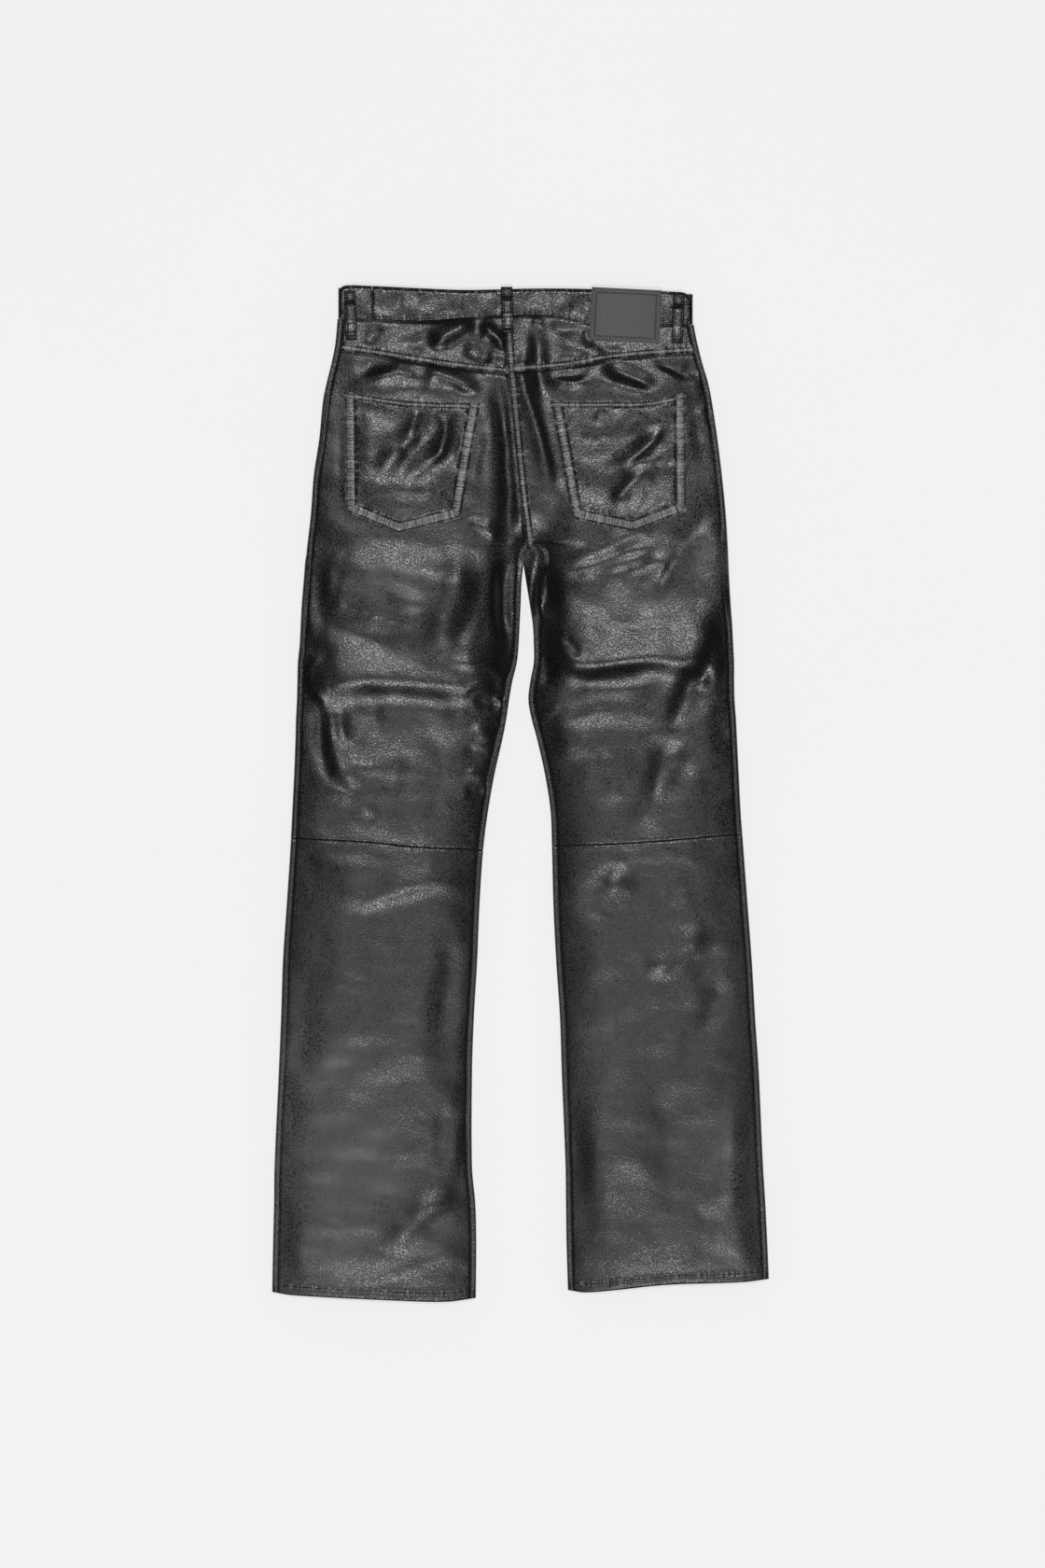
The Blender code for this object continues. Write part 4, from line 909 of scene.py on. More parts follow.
def front_profile(side, y, turn):
    """Outer face of a front: turn runs 0 to 1 round the inner edge, to 2 underneath, to 3 on top."""
    low, edge, fold = front_level(y), inner_edge(side, y), tuck_fold.straight(y)
    strip = spread(STRIP, inner_strip[side](y), tuck_run.straight(y))

    def inner(share):
        roll_x, roll_z = rolled(share, edge, side, strip, low, inner_roll(y))
        return spread(edge + side * TUCK_RUN * (1.0 - share), roll_x, fold), spread(low, roll_z, fold)

    inner_x, inner_z = inner(within(1.0 - turn))
    reach = np.min([(inner(share)[0] - edge) * side for share in np.linspace(0.0, 1.0, 21)], axis=0)
    inner_x = inner_x - side * (reach + MEET * ease((y - CROTCH_TIP + 1.5) / 5.0))
    outer_share = within(turn - 2.0)
    outer_x, outer_z = rolled(outer_share, outer_edge(side, y), -side, STRIP, low, outer_roll(y))
    under_x = spread(inner_x, outer_x, within(turn - 1.0))
    return by_turn(turn, inner_x, under_x, outer_x), by_turn(turn, inner_z, low, outer_z)


def front_form(side, x, y, z, depth):
    """A front's plain profile with its seams, creases and hem, and with an allowance moved inwards.

    The allowance lies at a depth beneath the panel that it is sewn to.
    """
    from_outer, from_inner = edge_distances(side, x, y)
    from_edge, outer = np.minimum(from_outer, from_inner), from_outer < from_inner
    low, high = front_level(y), np.where(outer, outer_roll(y), inner_roll(y))
    middle = (low + high) / 2
    top = ease((z - middle) / (high - middle))
    under = ease((middle - z) / (middle - low))
    from_knee, inseam = y - knee_seam[side](x), -from_inseam(side, x, y)
    lift = fine_relief(x, y, from_edge) + seam_dip(from_outer - STRIP)
    lift += np.where(y < SEAT_END.y, seam_dip(inseam), 0.0)
    lift += seam_dip(from_knee)
    hem = turned_hem(y - hem_edge[side](x))
    rounding = ease((from_edge + 1.0) / 5.0)
    tucked = NOTCH_DEPTH * bell(y - NOTCH_Y, NOTCH_RUN) + 0.8 * ease((y - NOTCH_Y) / NOTCH_RUN)
    ridge = NOTCH_RIDGE * bell(inseam - RIDGE_PLACE, RIDGE_WIDTH) * ease((y - RIDGE_END) / RIDGE_FADE)
    tucked = (tucked - ridge) * np.where(np.abs(inseam) < NOTCH_REACH, 1.0, 0.0)
    hollow = np.clip(crease_relief(x, y, FRONT_CREASES), 0.0, DEEPEST_TROUGH)
    hollow = np.maximum(hollow, KNEE_TROUGH * bell(from_knee, 1.5))
    z = z + top * (rounding * (lift + hem) - tucked) + under * hollow
    slant = np.clip((z - middle) / (middle - low), -1.0, 1.0)
    inwards = np.where(outer, -side, side) * (1.0 - np.abs(slant))
    return x + inwards * depth, z - slant * depth


def front_panel(name, side, upper, lower, finish, tongue=0.0):
    """A front panel, from the inner seam round under the garment to the side seam."""
    roll = np.concatenate([np.linspace(0.0, 1.0 - ARC, 6)[:-1], np.linspace(1.0 - ARC, 1.0, 13)])
    across = np.concatenate([roll, np.linspace(1.0, 2.0, 26)[1:], 3.0 - roll[::-1][1:]])

    def place(turn, along):
        turn = turn if side < 0 else 3.0 - turn
        y = spread(lower(side, 0.0, 0.0), upper(side, 0.0, 0.0), along)
        for _ in range(ROUNDS):
            x, z = front_profile(side, y, turn)
            top = upper(side, x, z)
            y = spread(lower(side, x, z) + SEAM / 2, top - SEAM / 2 + tongue, along)
        x, z = front_form(side, x, y, z, tongue_drop(tongue, y - top))
        return x, y, z

    length = upper(side, side * LEG_MIDDLE, 9.0) - lower(side, side * LEG_MIDDLE, 9.0)
    sew(name, finish, WALL, across, shares(length, PANEL_STEP), place)


def waist_seam(side, x, z):
    """The band's lower edge: the seam on top, and underneath a straight dip towards the centre front."""
    edge = BAND_EDGE[side]
    share = within((x - CENTRE_FRONT_WAIST) / (edge - CENTRE_FRONT_WAIST))
    under = spread(FRONT_WAIST, band_seam(edge), share)
    level = (z - BAND_FLOOR) / (BAND_TOP - BAND_FLOOR)
    return spread(under, band_seam(x), ease(level * 1.1))


def knee_edge(side, x, z):
    return knee_seam[side](x)


def hem_line(side, x, z):
    return hem_edge[side](x)


# ---------------------------------------------------------------- sewn lines
def along_rule(rule, start, end, away):
    """A path that keeps a distance above a line y = rule(x)."""
    xs = np.linspace(start, end, LINE_POINTS)
    return offset_path(list(zip(xs, rule(xs))), away)


def yoke_line(side):
    return Sewn(YOKE_ROWS, 1.0, along_rule(yoke_seam[side], *YOKE_ENDS[side], YOKE_INSET))


def seat_line(top, bottom):
    ys = np.linspace(top, bottom, LINE_POINTS)
    return Sewn(SEAT_ROWS, 0.7, [(seat_seam(y) + SEAT_INSET, y) for y in ys])


def hem_sewn(side):
    return Sewn(0.0, 0.9, along_rule(hem_edge[side], *HEM_ENDS[side], HEM_DEPTH))


def pocket_lines(side):
    return (Sewn(POCKET_ROWS, 0.8, offset_path(POCKETS[side].sides, POCKET_INSET)),
            Sewn(OPENING_ROWS, 0.8, offset_path(POCKETS[side].opening, -OPENING_INSET)))


def band_lines(start, end):
    return (Sewn(0.0, 1.0, along_rule(band_seam, start, end, EDGE_ROW)),
            Sewn(0.0, 0.7, along_rule(band_upper_edge, start, end, -EDGE_ROW)))


# ---------------------------------------------------------------- stitches
class Thread:
    """Collects stitches, each a plump bead between two holes, and makes them one mesh."""

    def __init__(self, name, finish):
        self.name = name
        self.finish = finish
        self.starts = []
        self.ends = []

    def row(self, path, level):
        """A row of stitches along a path, on the surface whose height is level(x, y)."""
        points = np.array(path)
        walked = np.concatenate([[0.0], np.cumsum(np.linalg.norm(np.diff(points, axis=0), axis=1))])
        count = max(1, round(walked[-1] / STITCH_PITCH))
        middle = (np.arange(count) + 0.5) * walked[-1] / count
        for reach, store in ((-0.5, self.starts), (0.5, self.ends)):
            x, y = (np.interp(middle + reach * STITCH_LENGTH, walked, points[:, axis]) for axis in (0, 1))
            store.append(np.stack([x, y, level(x, y)], axis=-1))

    def line(self, sewn, level):
        """Both rows of a sewn line, or its only one, a little sunk in the surface."""
        for reach in ((-1, 1) if sewn.apart else (0,)):
            path = offset_path(sewn.path, reach * sewn.apart)
            self.row(path, lambda x, y: level(x, y) - STITCH_SINK)

    def make(self):
        starts, ends = np.concatenate(self.starts), np.concatenate(self.ends)
        nothing_selected()
        bpy.ops.mesh.primitive_uv_sphere_add(segments=6, ring_count=4, radius=1.0)
        bead = bpy.context.object
        bead.name = self.name
        shape = corners_of(bead.data)
        faces = [tuple(face.vertices) for face in bead.data.polygons]
        half = (ends - starts) / 2
        reach = np.linalg.norm(half, axis=1)[:, None]
        ahead = half / reach
        across = np.cross((0.0, 0.0, 1.0), ahead)
        across /= np.linalg.norm(across, axis=1)[:, None]
        above = np.cross(ahead, across)
        draw = np.random.default_rng(len(starts))
        plump = STITCH_RADIUS * draw.uniform(0.85, 1.15, len(starts))[:, None, None]
        corners = ((starts + ends)[:, None, :] / 2
                   + shape[None, :, 2:3] * (reach * 1.04)[:, None, :] * ahead[:, None, :]
                   + shape[None, :, 0:1] * plump * across[:, None, :]
                   + shape[None, :, 1:2] * plump * above[:, None, :])
        mesh = bpy.data.meshes.new(self.name)
        mesh.from_pydata((corners / 1000.0).reshape(-1, 3).tolist(), [],
                         [tuple(corner + len(shape) * stitch for corner in face)
                          for stitch in range(len(starts)) for face in faces])
        mesh.shade_smooth()
        bead.data = mesh
        mesh.materials.append(self.finish)
        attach(bead, "root")


# ---------------------------------------------------------------- pockets
def welt(away, inset, apart):
    """Double rows near an edge: the leather swells between them and sinks at each row."""
    from_middle = away - inset
    swell = 0.7 * within(1.0 - (from_middle / apart) ** 2) ** 0.6
    return swell - 0.3 * bell(np.abs(from_middle) - apart, 0.7)


def pocket_level(side, x, y):
    """Outer face of a back pocket, which lies on its panel."""
    from_sides = np.abs(from_path(x, y, POCKETS[side].sides)[0])
    from_opening = np.abs(from_path(x, y, POCKETS[side].opening)[0])
    borders = np.where(from_opening - OPENING_INSET < from_sides - POCKET_INSET,
                       welt(from_opening, OPENING_INSET, OPENING_ROWS),
                       welt(from_sides, POCKET_INSET, POCKET_ROWS))
    rounding = 0.3 * bell(np.minimum(from_sides, from_opening), 0.6)
    return panel_level(side, x, y) + GAP + POCKET_WALL + POCKET_RISE + borders - rounding


def back_pocket(name, side, finish):
    opening = Line(POCKETS[side].opening, "x", "y")
    upper_left, lower_left, tip, lower_right, upper_right = POCKETS[side].sides
    tip_share = (tip.x - lower_left.x) / (lower_right.x - lower_left.x)

    def place(across, along):
        top_x = spread(upper_left.x, upper_right.x, across)
        low_x = spread(lower_left.x, lower_right.x, across)
        low_y = np.interp(across, [0.0, tip_share, 1.0], [lower_left.y, tip.y, lower_right.y])
        x, y = spread(low_x, top_x, along), spread(low_y, opening(top_x), along)
        return x, y, pocket_level(side, x, y)

    across = shares(upper_right.x - upper_left.x, POCKET_STEP, edges=BORDER_POINTS)
    across[np.argmin(np.abs(across - tip_share))] = tip_share
    along = shares(opening(tip.x) - tip.y, POCKET_STEP, edges=BORDER_POINTS)
    sew(name, finish, POCKET_WALL, across, along, place, pocket_lines(side))


# ---------------------------------------------------------------- waistband
def band_form(x, y):
    """The band's relief: rounded edges, small upright wrinkles, and a dip along each row."""
    from_seam, from_top = y - band_seam(x), band_upper_edge(x) - y
    form = -1.1 * bell(from_seam, 1.0) - 1.3 * bell(from_top, 1.4)
    form -= 0.25 * bell(from_seam - EDGE_ROW, 0.8)
    form -= 0.2 * bell(from_top - EDGE_ROW, 0.8)
    wrinkles = 0.35 * crumple(x, y * 0.35, 9.0, 21) + 0.9 * crumple(x * 0.7, y, 22.0, 22)
    return form + 0.22 * wrinkles * ease(from_seam / 4.0) * ease(from_top / 4.0)


def band_level(x, y):
    ends = -0.35 * bell(x - BAND_JOINT[-1], 0.9) - 0.35 * bell(x - BAND_JOINT[1], 0.9)
    return BAND_TOP + band_form(x, y) + ends


def band_back(finish):
    def place(across, along):
        x = spread(BAND_JOINT[-1] + SEAM / 2, BAND_JOINT[1] - SEAM / 2, across)
        y = spread(band_seam(x) + SEAM / 2, band_upper_edge(x), along)
        return x, y, band_level(x, y)

    across = shares(BAND_JOINT[1] - BAND_JOINT[-1], BAND_STEP)
    sew("waistband_back", finish, BAND_WALL, across,
        shares(BAND_HEIGHT, BAND_STEP), place, band_lines(*BAND_JOINT.values()))


BEND = 0.08             # share of the band's turn in which its side starts to round


def band_end(name, side, finish):
    """The band from its joint at the back, round the side, to the centre front underneath."""
    edge = BAND_EDGE[side]
    radius = (BAND_TOP - BAND_FLOOR) / 2
    start = BAND_JOINT[side] + side * SEAM / 2
    bend = edge - side * (radius + 2.5)
    over = edge - side * radius
    centre = CENTRE_FRONT_WAIST + side * SEAM / 2

    def place(turn, along):
        turn = turn if side > 0 else 3.0 - turn
        x, z = rolled(ARC * (2.0 - turn), edge, -side, 0.0, BAND_FLOOR, BAND_TOP)
        x = by_turn(turn, spread(start, bend, turn), x, spread(over, centre, turn - 2))
        z = by_turn(turn, BAND_TOP, z, BAND_FLOOR)
        x = np.where((turn >= 1) & (turn < 1 + BEND), spread(bend, over, (turn - 1) / BEND), x)
        bottom = waist_seam(side, x, z) + SEAM / 2
        level = ease((z - BAND_FLOOR) / (BAND_TOP - BAND_FLOOR))
        y = spread(bottom, spread(bottom + BAND_HEIGHT, band_upper_edge(x), level), along)
        return x, y, np.where(z > BAND_TOP - radius, z + (band_level(x, y) - BAND_TOP) * ease(level), z)

    turn = np.concatenate([shares(abs(bend - start), BAND_STEP), [1 + BEND / 2, 1 + BEND],
                           np.linspace(1 + BEND, 2.0, 12)[1:], np.linspace(2.0, 3.0, 24)[1:]])
    turn = turn if side > 0 else 3.0 - turn[::-1]
    sew(name, finish, BAND_WALL, turn, shares(BAND_HEIGHT, BAND_STEP), place,
        band_lines(*sorted((start, over))))


# ---------------------------------------------------------------- belt loops
def top_level(x, y):
    """Height of whatever lies uppermost under a belt loop."""
    yoke = np.where(x < seat_seam(y), panel_level(-1, x, y), panel_level(1, x, y))
    return np.where(y >= band_seam(x) - 1.0, BAND_TOP + 0.3, yoke)


def belt_loop(loop, thread, finish):
    """A loop over the band, sewn down at both ends, with a row along each side and a bar at each end."""
    def place(across, along):
        middle = spread(loop.bottom_x, loop.top_x, along)
        y = spread(loop.bottom_y, loop.top_y, along)
        under = np.zeros(len(along))
        for reach in (-0.6, 0.0, 0.6):
            for near in (-6.0, -2.0, 2.0):
                under = np.maximum(under, top_level(middle + reach * LOOP_WIDTH, y + near))
        from_end = np.minimum(along, 1.0 - along)
        rise = ease((from_end - LOOP_FOOT) / 0.2)
        from_side = np.minimum(across, 1.0 - across) * LOOP_WIDTH
        form = -0.8 * bell(from_side, 0.8) - 0.35 * bell(from_side - LOOP_ROW, 0.7)
        form -= 1.0 * bell(from_end * LOOP_LENGTH, 0.9)
        form -= 0.4 * bell((from_end - 0.11) * LOOP_LENGTH, 1.6)
        x = middle + (across - 0.5) * LOOP_WIDTH
        return x, y, under + GAP + LOOP_CLEARANCE * rise + LOOP_RISE + form

    across = shares(LOOP_WIDTH, 1.1, edges=(0.0, 0.4, 0.9, 1.5))
    along = shares(LOOP_LENGTH, 1.2, edges=(0.0, 0.5, 1.1, 1.8))
    sew(loop.name, finish, LOOP_WALL, across, along, place)
    way = np.linspace(0.06, 0.94, LOOP_STITCHES + 1)
    for row in (LOOP_ROW / LOOP_WIDTH, 1.0 - LOOP_ROW / LOOP_WIDTH):
        for store, hole in ((thread.starts, way[:-1] + HOLE_GAP), (thread.ends, way[1:] - HOLE_GAP)):
            store.append(np.stack(place(np.full(LOOP_STITCHES, row), hole), axis=-1))
    for bar in LOOP_BARS:
        for store, reach in ((thread.starts, -BAR_REACH), (thread.ends, BAR_REACH)):
            holes = place(np.linspace(0.2, 0.8, BAR_STITCHES), np.full(BAR_STITCHES, bar + reach))
            store.append(np.stack(holes, axis=-1) + (0.0, 0.0, BAR_RISE))


# ---------------------------------------------------------------- label, underside trims and button
# Insets of a face step by step, in metres: how far in, and how far up or down.
LABEL_STEPS = ((0.004, 0.0), (0.0007, -0.0009), (0.0005, 0.0), (0.0008, 0.0006))
BUTTON_STEPS = ((0.0012, 0.0), (0.0004, -0.0005), (0.0022, 0.0), (0.0006, 0.00025), (0.0015, 0.0001))
FRONT_LOOP_RAISED = 0.0002
FRONT_LOOP_ROW = 0.0018  # from its side to its row of stitches


def select_faces(piece, wanted):
    """In edit mode, selects the faces whose normal wanted() accepts, and no others."""
    form = bmesh.from_edit_mesh(piece.data)
    bpy.ops.mesh.select_all(action="DESELECT")
    for face in form.faces:
        face.select_set(bool(wanted(face.normal)))
    form.select_flush_mode()
    bmesh.update_edit_mesh(piece.data)


def inset(*steps):
    """Insets the selected faces step by step."""
    for thickness, depth in steps:
        bpy.ops.mesh.inset(thickness=thickness, depth=depth)


def middle_of(low, high):
    return [(low[axis] + high[axis]) / 2 for axis in range(3)]


def block(name, low, high):
    """A box between two corners in metres, left in edit mode with its mesh in place."""
    nothing_selected()
    bpy.ops.mesh.primitive_cube_add(size=1.0)
    piece = bpy.context.object
    piece.name = name
    bpy.ops.object.mode_set(mode="EDIT")
    bpy.ops.mesh.select_all(action="SELECT")
    bpy.ops.transform.resize(value=[high[axis] - low[axis] for axis in range(3)])
    bpy.ops.transform.translate(value=middle_of(low, high))
    return piece


def finish_hard_piece(piece, node, finish, width):
    """Rounds a piece's edges and puts it in its node's place."""
    nothing_selected()
    rounding = piece.modifiers.new("rounding", "BEVEL")
    rounding.width = width
    rounding.segments = 3
    rounding.limit_method = "ANGLE"
    rounding.angle_limit = math.radians(30.0)
    finish_piece(piece, node, finish)


def label_patch(finish, thread):
    """A stiff leather patch: raised border, a groove inside it, and a bare field."""
    low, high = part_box("label_patch")
    middle = middle_of(low, high)
    half_x, half_y = LABEL_SIZE[0] / 2000.0, LABEL_SIZE[1] / 2000.0
    piece = block("sewn_label_patch", (middle[0] - half_x, middle[1] - half_y, low[2]),
                  (middle[0] + half_x, middle[1] + half_y, high[2]))
    select_faces(piece, lambda normal: normal.z > 0.5)
    inset(*LABEL_STEPS)
    bpy.ops.mesh.select_all(action="SELECT")
    tilt = math.radians(LABEL_TILT)
    bpy.ops.transform.rotate(value=-tilt, orient_axis="Z", center_override=middle)
    finish_hard_piece(piece, "label_patch", finish, 0.0005)
    corners = []
    for share_x, share_y in ((-1, 1), (1, 1), (1, -1), (-1, -1), (-1, 1)):
        dx, dy = share_x * (LABEL_SIZE[0] / 2 - LABEL_ROW), share_y * (LABEL_SIZE[1] / 2 - LABEL_ROW)
        corners.append((middle[0] * 1000 + dx * math.cos(tilt) - dy * math.sin(tilt),
                        middle[1] * 1000 + dx * math.sin(tilt) + dy * math.cos(tilt)))
    for ends in zip(corners, corners[1:]):
        thread.row(ends, lambda x, y: np.full_like(x, high[2] * 1000.0 - 0.1))


def front_loop(name, finish, thread):
    """A belt loop of the front, pressed flat under the garment."""
    low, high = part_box(name)
    piece = block("sewn_" + name, (low[0], low[1], low[2] + FRONT_LOOP_RAISED), high)
    bpy.ops.mesh.subdivide(number_cuts=6)
    finish_hard_piece(piece, name, finish, 0.0007)
    for x in (low[0] + FRONT_LOOP_ROW, high[0] - FRONT_LOOP_ROW):
        path = [(x * 1000.0, low[1] * 1000.0 + 3), (x * 1000.0, high[1] * 1000.0 - 3)]
        thread.row(path, lambda x, y: np.full_like(x, low[2] * 1000.0 + 0.35))


def waist_button(finish):
    """The button's head: a turned disc with a raised rim, a sunk face and a low dome."""
    low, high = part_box("waist_button")
    nothing_selected()
    bpy.ops.mesh.primitive_cylinder_add(vertices=64, radius=(high[0] - low[0]) / 2, depth=high[2] - low[2],
                                        location=middle_of(low, high))
    piece = bpy.context.object
    piece.name = "turned_waist_button"
    bpy.ops.object.transform_apply(location=True, rotation=False, scale=False)
    bpy.ops.object.mode_set(mode="EDIT")
    select_faces(piece, lambda normal: normal.z < -0.5)
    inset(*BUTTON_STEPS)
    select_faces(piece, lambda normal: normal.z > 0.5)
    inset(BUTTON_STEPS[0])
    finish_hard_piece(piece, "waist_button", finish, 0.0004)


def fly_flap(finish, thread):
    """The fly's overlap under the left front, rounded at its lower end, with its two curved rows."""
    def width_at(y, border=0.0):
        rounding = within((y - FLY_BOTTOM - border) / (FLY_WIDTH - border))
        return (FLY_WIDTH - border) * np.sqrt(np.maximum(1.0 - (1.0 - rounding) ** 2, 0.06))

    def face(x, y):
        return front_level(y) - GAP - FLY_DROP

    def place(share, rise):
        y = spread(FLY_BOTTOM, FLY_TOP, rise)
        x = centre_front(y) - 1.0 - width_at(y) * share
        return x, y, face(x, y)

    sew("fly_flap", finish, FLY_WALL, shares(FLY_WIDTH, FLY_STEP),
        shares(FLY_TOP - FLY_BOTTOM, FLY_STEP), place)
    for border in FLY_ROWS:
        ys = FLY_BOTTOM + border + (FLY_TOP - FLY_BOTTOM - border) * np.linspace(0.0, 1.0, 40) ** 2
        path = [(centre_front(y) - 1.0 - width_at(y, border), y) for y in ys]
        thread.row(path, lambda x, y: face(x, y) + 0.1)


# ---------------------------------------------------------------- finishes
class Value:
    """What flows between a finish's nodes, with arithmetic that adds Math nodes."""

    def __init__(self, finish, socket):
        self.finish = finish
        self.socket = socket

    def math(self, operation, *values):
        return self.finish.node("ShaderNodeMath", {"operation": operation}, dict(enumerate(values)))

    def __add__(self, other):
        return self.math("ADD", self, other)

    def __radd__(self, other):
        return self.math("ADD", other, self)

    def __sub__(self, other):
        return self.math("SUBTRACT", self, other)

    def __rsub__(self, other):
        return self.math("SUBTRACT", other, self)

    def __mul__(self, other):
        return self.math("MULTIPLY", self, other)

    def __rmul__(self, other):
        return self.math("MULTIPLY", other, self)

    def __truediv__(self, other):
        return self.math("DIVIDE", self, other)

    def __abs__(self):
        return self.math("ABSOLUTE", self)


class Finish:
    """A material whose nodes are made by one method."""

    def __init__(self, name):
        self.material = bpy.data.materials.new(name)
        self.material.use_nodes = True
        self.tree = self.material.node_tree
        self.shader = self.tree.nodes["Principled BSDF"]

    def node(self, kind, settings=(), values=(), output=0):
        """Adds a node, sets its settings, then feeds its sockets with values or links."""
        made = self.tree.nodes.new(kind)
        for name, setting in dict(settings).items():
            setattr(made, name, setting)
        for name, value in dict(values).items():
            self.feed(made.inputs[name], value)
        return Value(self, made.outputs[output])

    def feed(self, socket, value):
        if isinstance(value, Value):
            self.tree.links.new(value.socket, socket)
        else:
            socket.default_value = value

    def set(self, **values):
        """Feeds the shader's own sockets; a socket's name is written with underscores."""
        for name, value in values.items():
            self.feed(self.shader.inputs[name.replace("_", " ")], value)

    def place(self):
        return self.node("ShaderNodeTexCoord", output="Object")

    def attribute(self, name, output):
        return self.node("ShaderNodeAttribute", {"attribute_name": name}, output=output)

    def parts(self, vector):
        outputs = self.node("ShaderNodeSeparateXYZ", values={"Vector": vector}).socket.node.outputs
        return [Value(self, outputs[axis]) for axis in ("X", "Y", "Z")]

    def noise(self, vector, size, detail=2.0, roughness=0.5):
        """Noise from 0 to 1 whose patches are about size metres."""
        values = {"Vector": vector, "Scale": 1.0 / size, "Detail": detail, "Roughness": roughness}
        return self.node("ShaderNodeTexNoise", values=values)

    def cells(self, vector, size):
        values = {"Vector": vector, "Scale": 1.0 / size, "Randomness": 1.0}
        return self.node("ShaderNodeTexVoronoi", {"feature": "F1"}, values)

    def soft_step(self, value, start, end):
        """0 below start, 1 above end, and soft between them; start may be above end."""
        low, high = sorted((start, end))
        rising = float(start < end)
        values = {"Value": value, "From Min": low, "From Max": high, "To Min": 1.0 - rising, "To Max": rising}
        return self.node("ShaderNodeMapRange", {"interpolation_type": "SMOOTHSTEP"}, values)

    def blend(self, share, low, high):
        """A colour between two, each three numbers or another blend."""
        mixed = self.node("ShaderNodeMix", {"data_type": "RGBA"}).socket.node
        self.feed(mixed.inputs[0], share)
        for index, colour in ((6, low), (7, high)):
            self.feed(mixed.inputs[index], colour if isinstance(colour, Value) else (*colour, 1.0))
        return Value(self, mixed.outputs[2])

    def bump(self, height):
        """Turns heights in millimetres into the shader's normal."""
        values = {"Strength": 1.0, "Distance": 0.001, "Height": height}
        self.set(Normal=self.node("ShaderNodeBump", values=values))


class Room(Finish):
    """The studio's own light, made by the same method."""

    def __init__(self, world):
        self.tree = world.node_tree
        self.shader = self.tree.nodes["Background"]
        self.set(Color=(1.0, 1.0, 1.0, 1.0))


def sewn_relief(finish):
    """Heights in millimetres beside sewn lines, and where a highlight is painted on the puckers there."""
    along, away, apart = finish.parts(finish.attribute("sewing", "Vector"))
    presence = finish.attribute("pucker", "Fac")

    def ripples(run, reach):
        way = finish.node("ShaderNodeCombineXYZ", values={"X": along / run, "Y": away / reach, "Z": apart})
        return finish.noise(way, 1.0, 1.0)

    past = away - apart
    from_row = abs(past)
    groove = finish.soft_step(from_row, 1.5, 0.0) * presence
    near = finish.soft_step(past, 7.0, 0.0) * presence
    gathers, ribs = ripples(6.0, 16.0), ripples(1.7, 9.0)
    holes = finish.node("ShaderNodeMath", {"operation": "PINGPONG"}, {0: along, 1: STITCH_PITCH / 2})
    at_hole = finish.soft_step(holes, 0.6, 0.0) * finish.soft_step(from_row, 0.9, 0.2) * presence
    between = finish.soft_step(past, -0.6, -1.8) * presence
    folds = (gathers - 0.5) * near * 0.9 + (ribs - 0.5) * between * 0.9
    # Painted highlight: pale ribs between the rows, and pale gathers beside them.
    sewn_highlight = finish.soft_step(ribs + holes * 0.16, 0.40, 0.72) * between
    gather_highlight = finish.soft_step(gathers, 0.50, 0.70) * finish.soft_step(past, 4.0, 0.5) * presence
    return folds - groove * 0.28 - at_hole * 0.22, sewn_highlight * 0.8 + gather_highlight * 0.6


GRAIN = 0.09            # depth of the leather's grain
SPECKLE = 0.20          # how far the roughness swings over the grain
# Colour of the painted sheen on handled places, and of the painted highlight on puckers beside sewn lines.
PAINTED_SHEEN_COLOUR = (0.074, 0.073, 0.075)
SEWN_HIGHLIGHT_COLOUR = (0.380, 0.376, 0.378)


def leather_finish(name, dark, light, gloss, wrinkles, warm=None):
    """Soft milled leather: pores, a pebbled grain and a broken sheen, with a paler sheen painted on handled
    places and highlights painted beside sewn lines.
    """
    finish = Finish(name)
    place = finish.place()
    patches = finish.noise(place, 0.045, 3.0)
    pebble = finish.noise(place, 0.0015, 1.0, 0.6)
    pores = finish.cells(place, 0.0019)
    fine = finish.noise(place, 0.0008, 1.0)
    sewn, sewn_highlight = sewn_relief(finish)
    colour = finish.blend(finish.soft_step(patches, 0.35, 0.7), dark, light)
    down_the_leg = finish.soft_step(finish.parts(place)[1], 0.15, -0.30)
    if warm:
        colour = finish.blend(down_the_leg * 0.8, colour, warm)
    speckle = finish.soft_step(pebble, 0.36, 0.64) - 0.5
    # Painted sheen: a paler colour laid on the handled places, broken by patches and speckle.
    sheen_and_rub = finish.attribute("rubbed", "Fac") * (0.6 + (patches - 0.5) * 1.2 + speckle * 0.9)
    colour = finish.blend(sheen_and_rub, colour, PAINTED_SHEEN_COLOUR)
    # The painted highlight beside sewn lines is laid over the colour.
    finish.set(Base_Color=finish.blend(sewn_highlight, colour, SEWN_HIGHLIGHT_COLOUR), Specular_IOR_Level=0.5,
               Roughness=down_the_leg * 0.05 + gloss + speckle * SPECKLE + (patches - 0.5) * 0.10)
    relief = (pores * 0.7 + pebble * 1.3 + fine * 0.25) * GRAIN
    swells = (finish.noise(place, 0.011, 2.0) - 0.5) * wrinkles
    finish.bump(relief + swells + sewn)
    return finish.material


def label_finish():
    """A thicker, greyer leather with a coarse pebble; part of its grey is a painted sheen."""
    finish = Finish("label leather")
    place = finish.place()
    pebble = finish.noise(place, 0.0036, 3.0, 0.55)
    pores = finish.cells(place, 0.0013)
    # The grey is partly the patch's own colour and partly a painted sheen.
    finish.set(Base_Color=finish.blend(finish.soft_step(pebble, 0.35, 0.7), (0.088, 0.087, 0.089),
                                       (0.120, 0.118, 0.120)), Roughness=0.44 + (pebble - 0.5) * 0.2)
    finish.bump(pebble * 0.16 + pores * 0.05)
    return finish.material


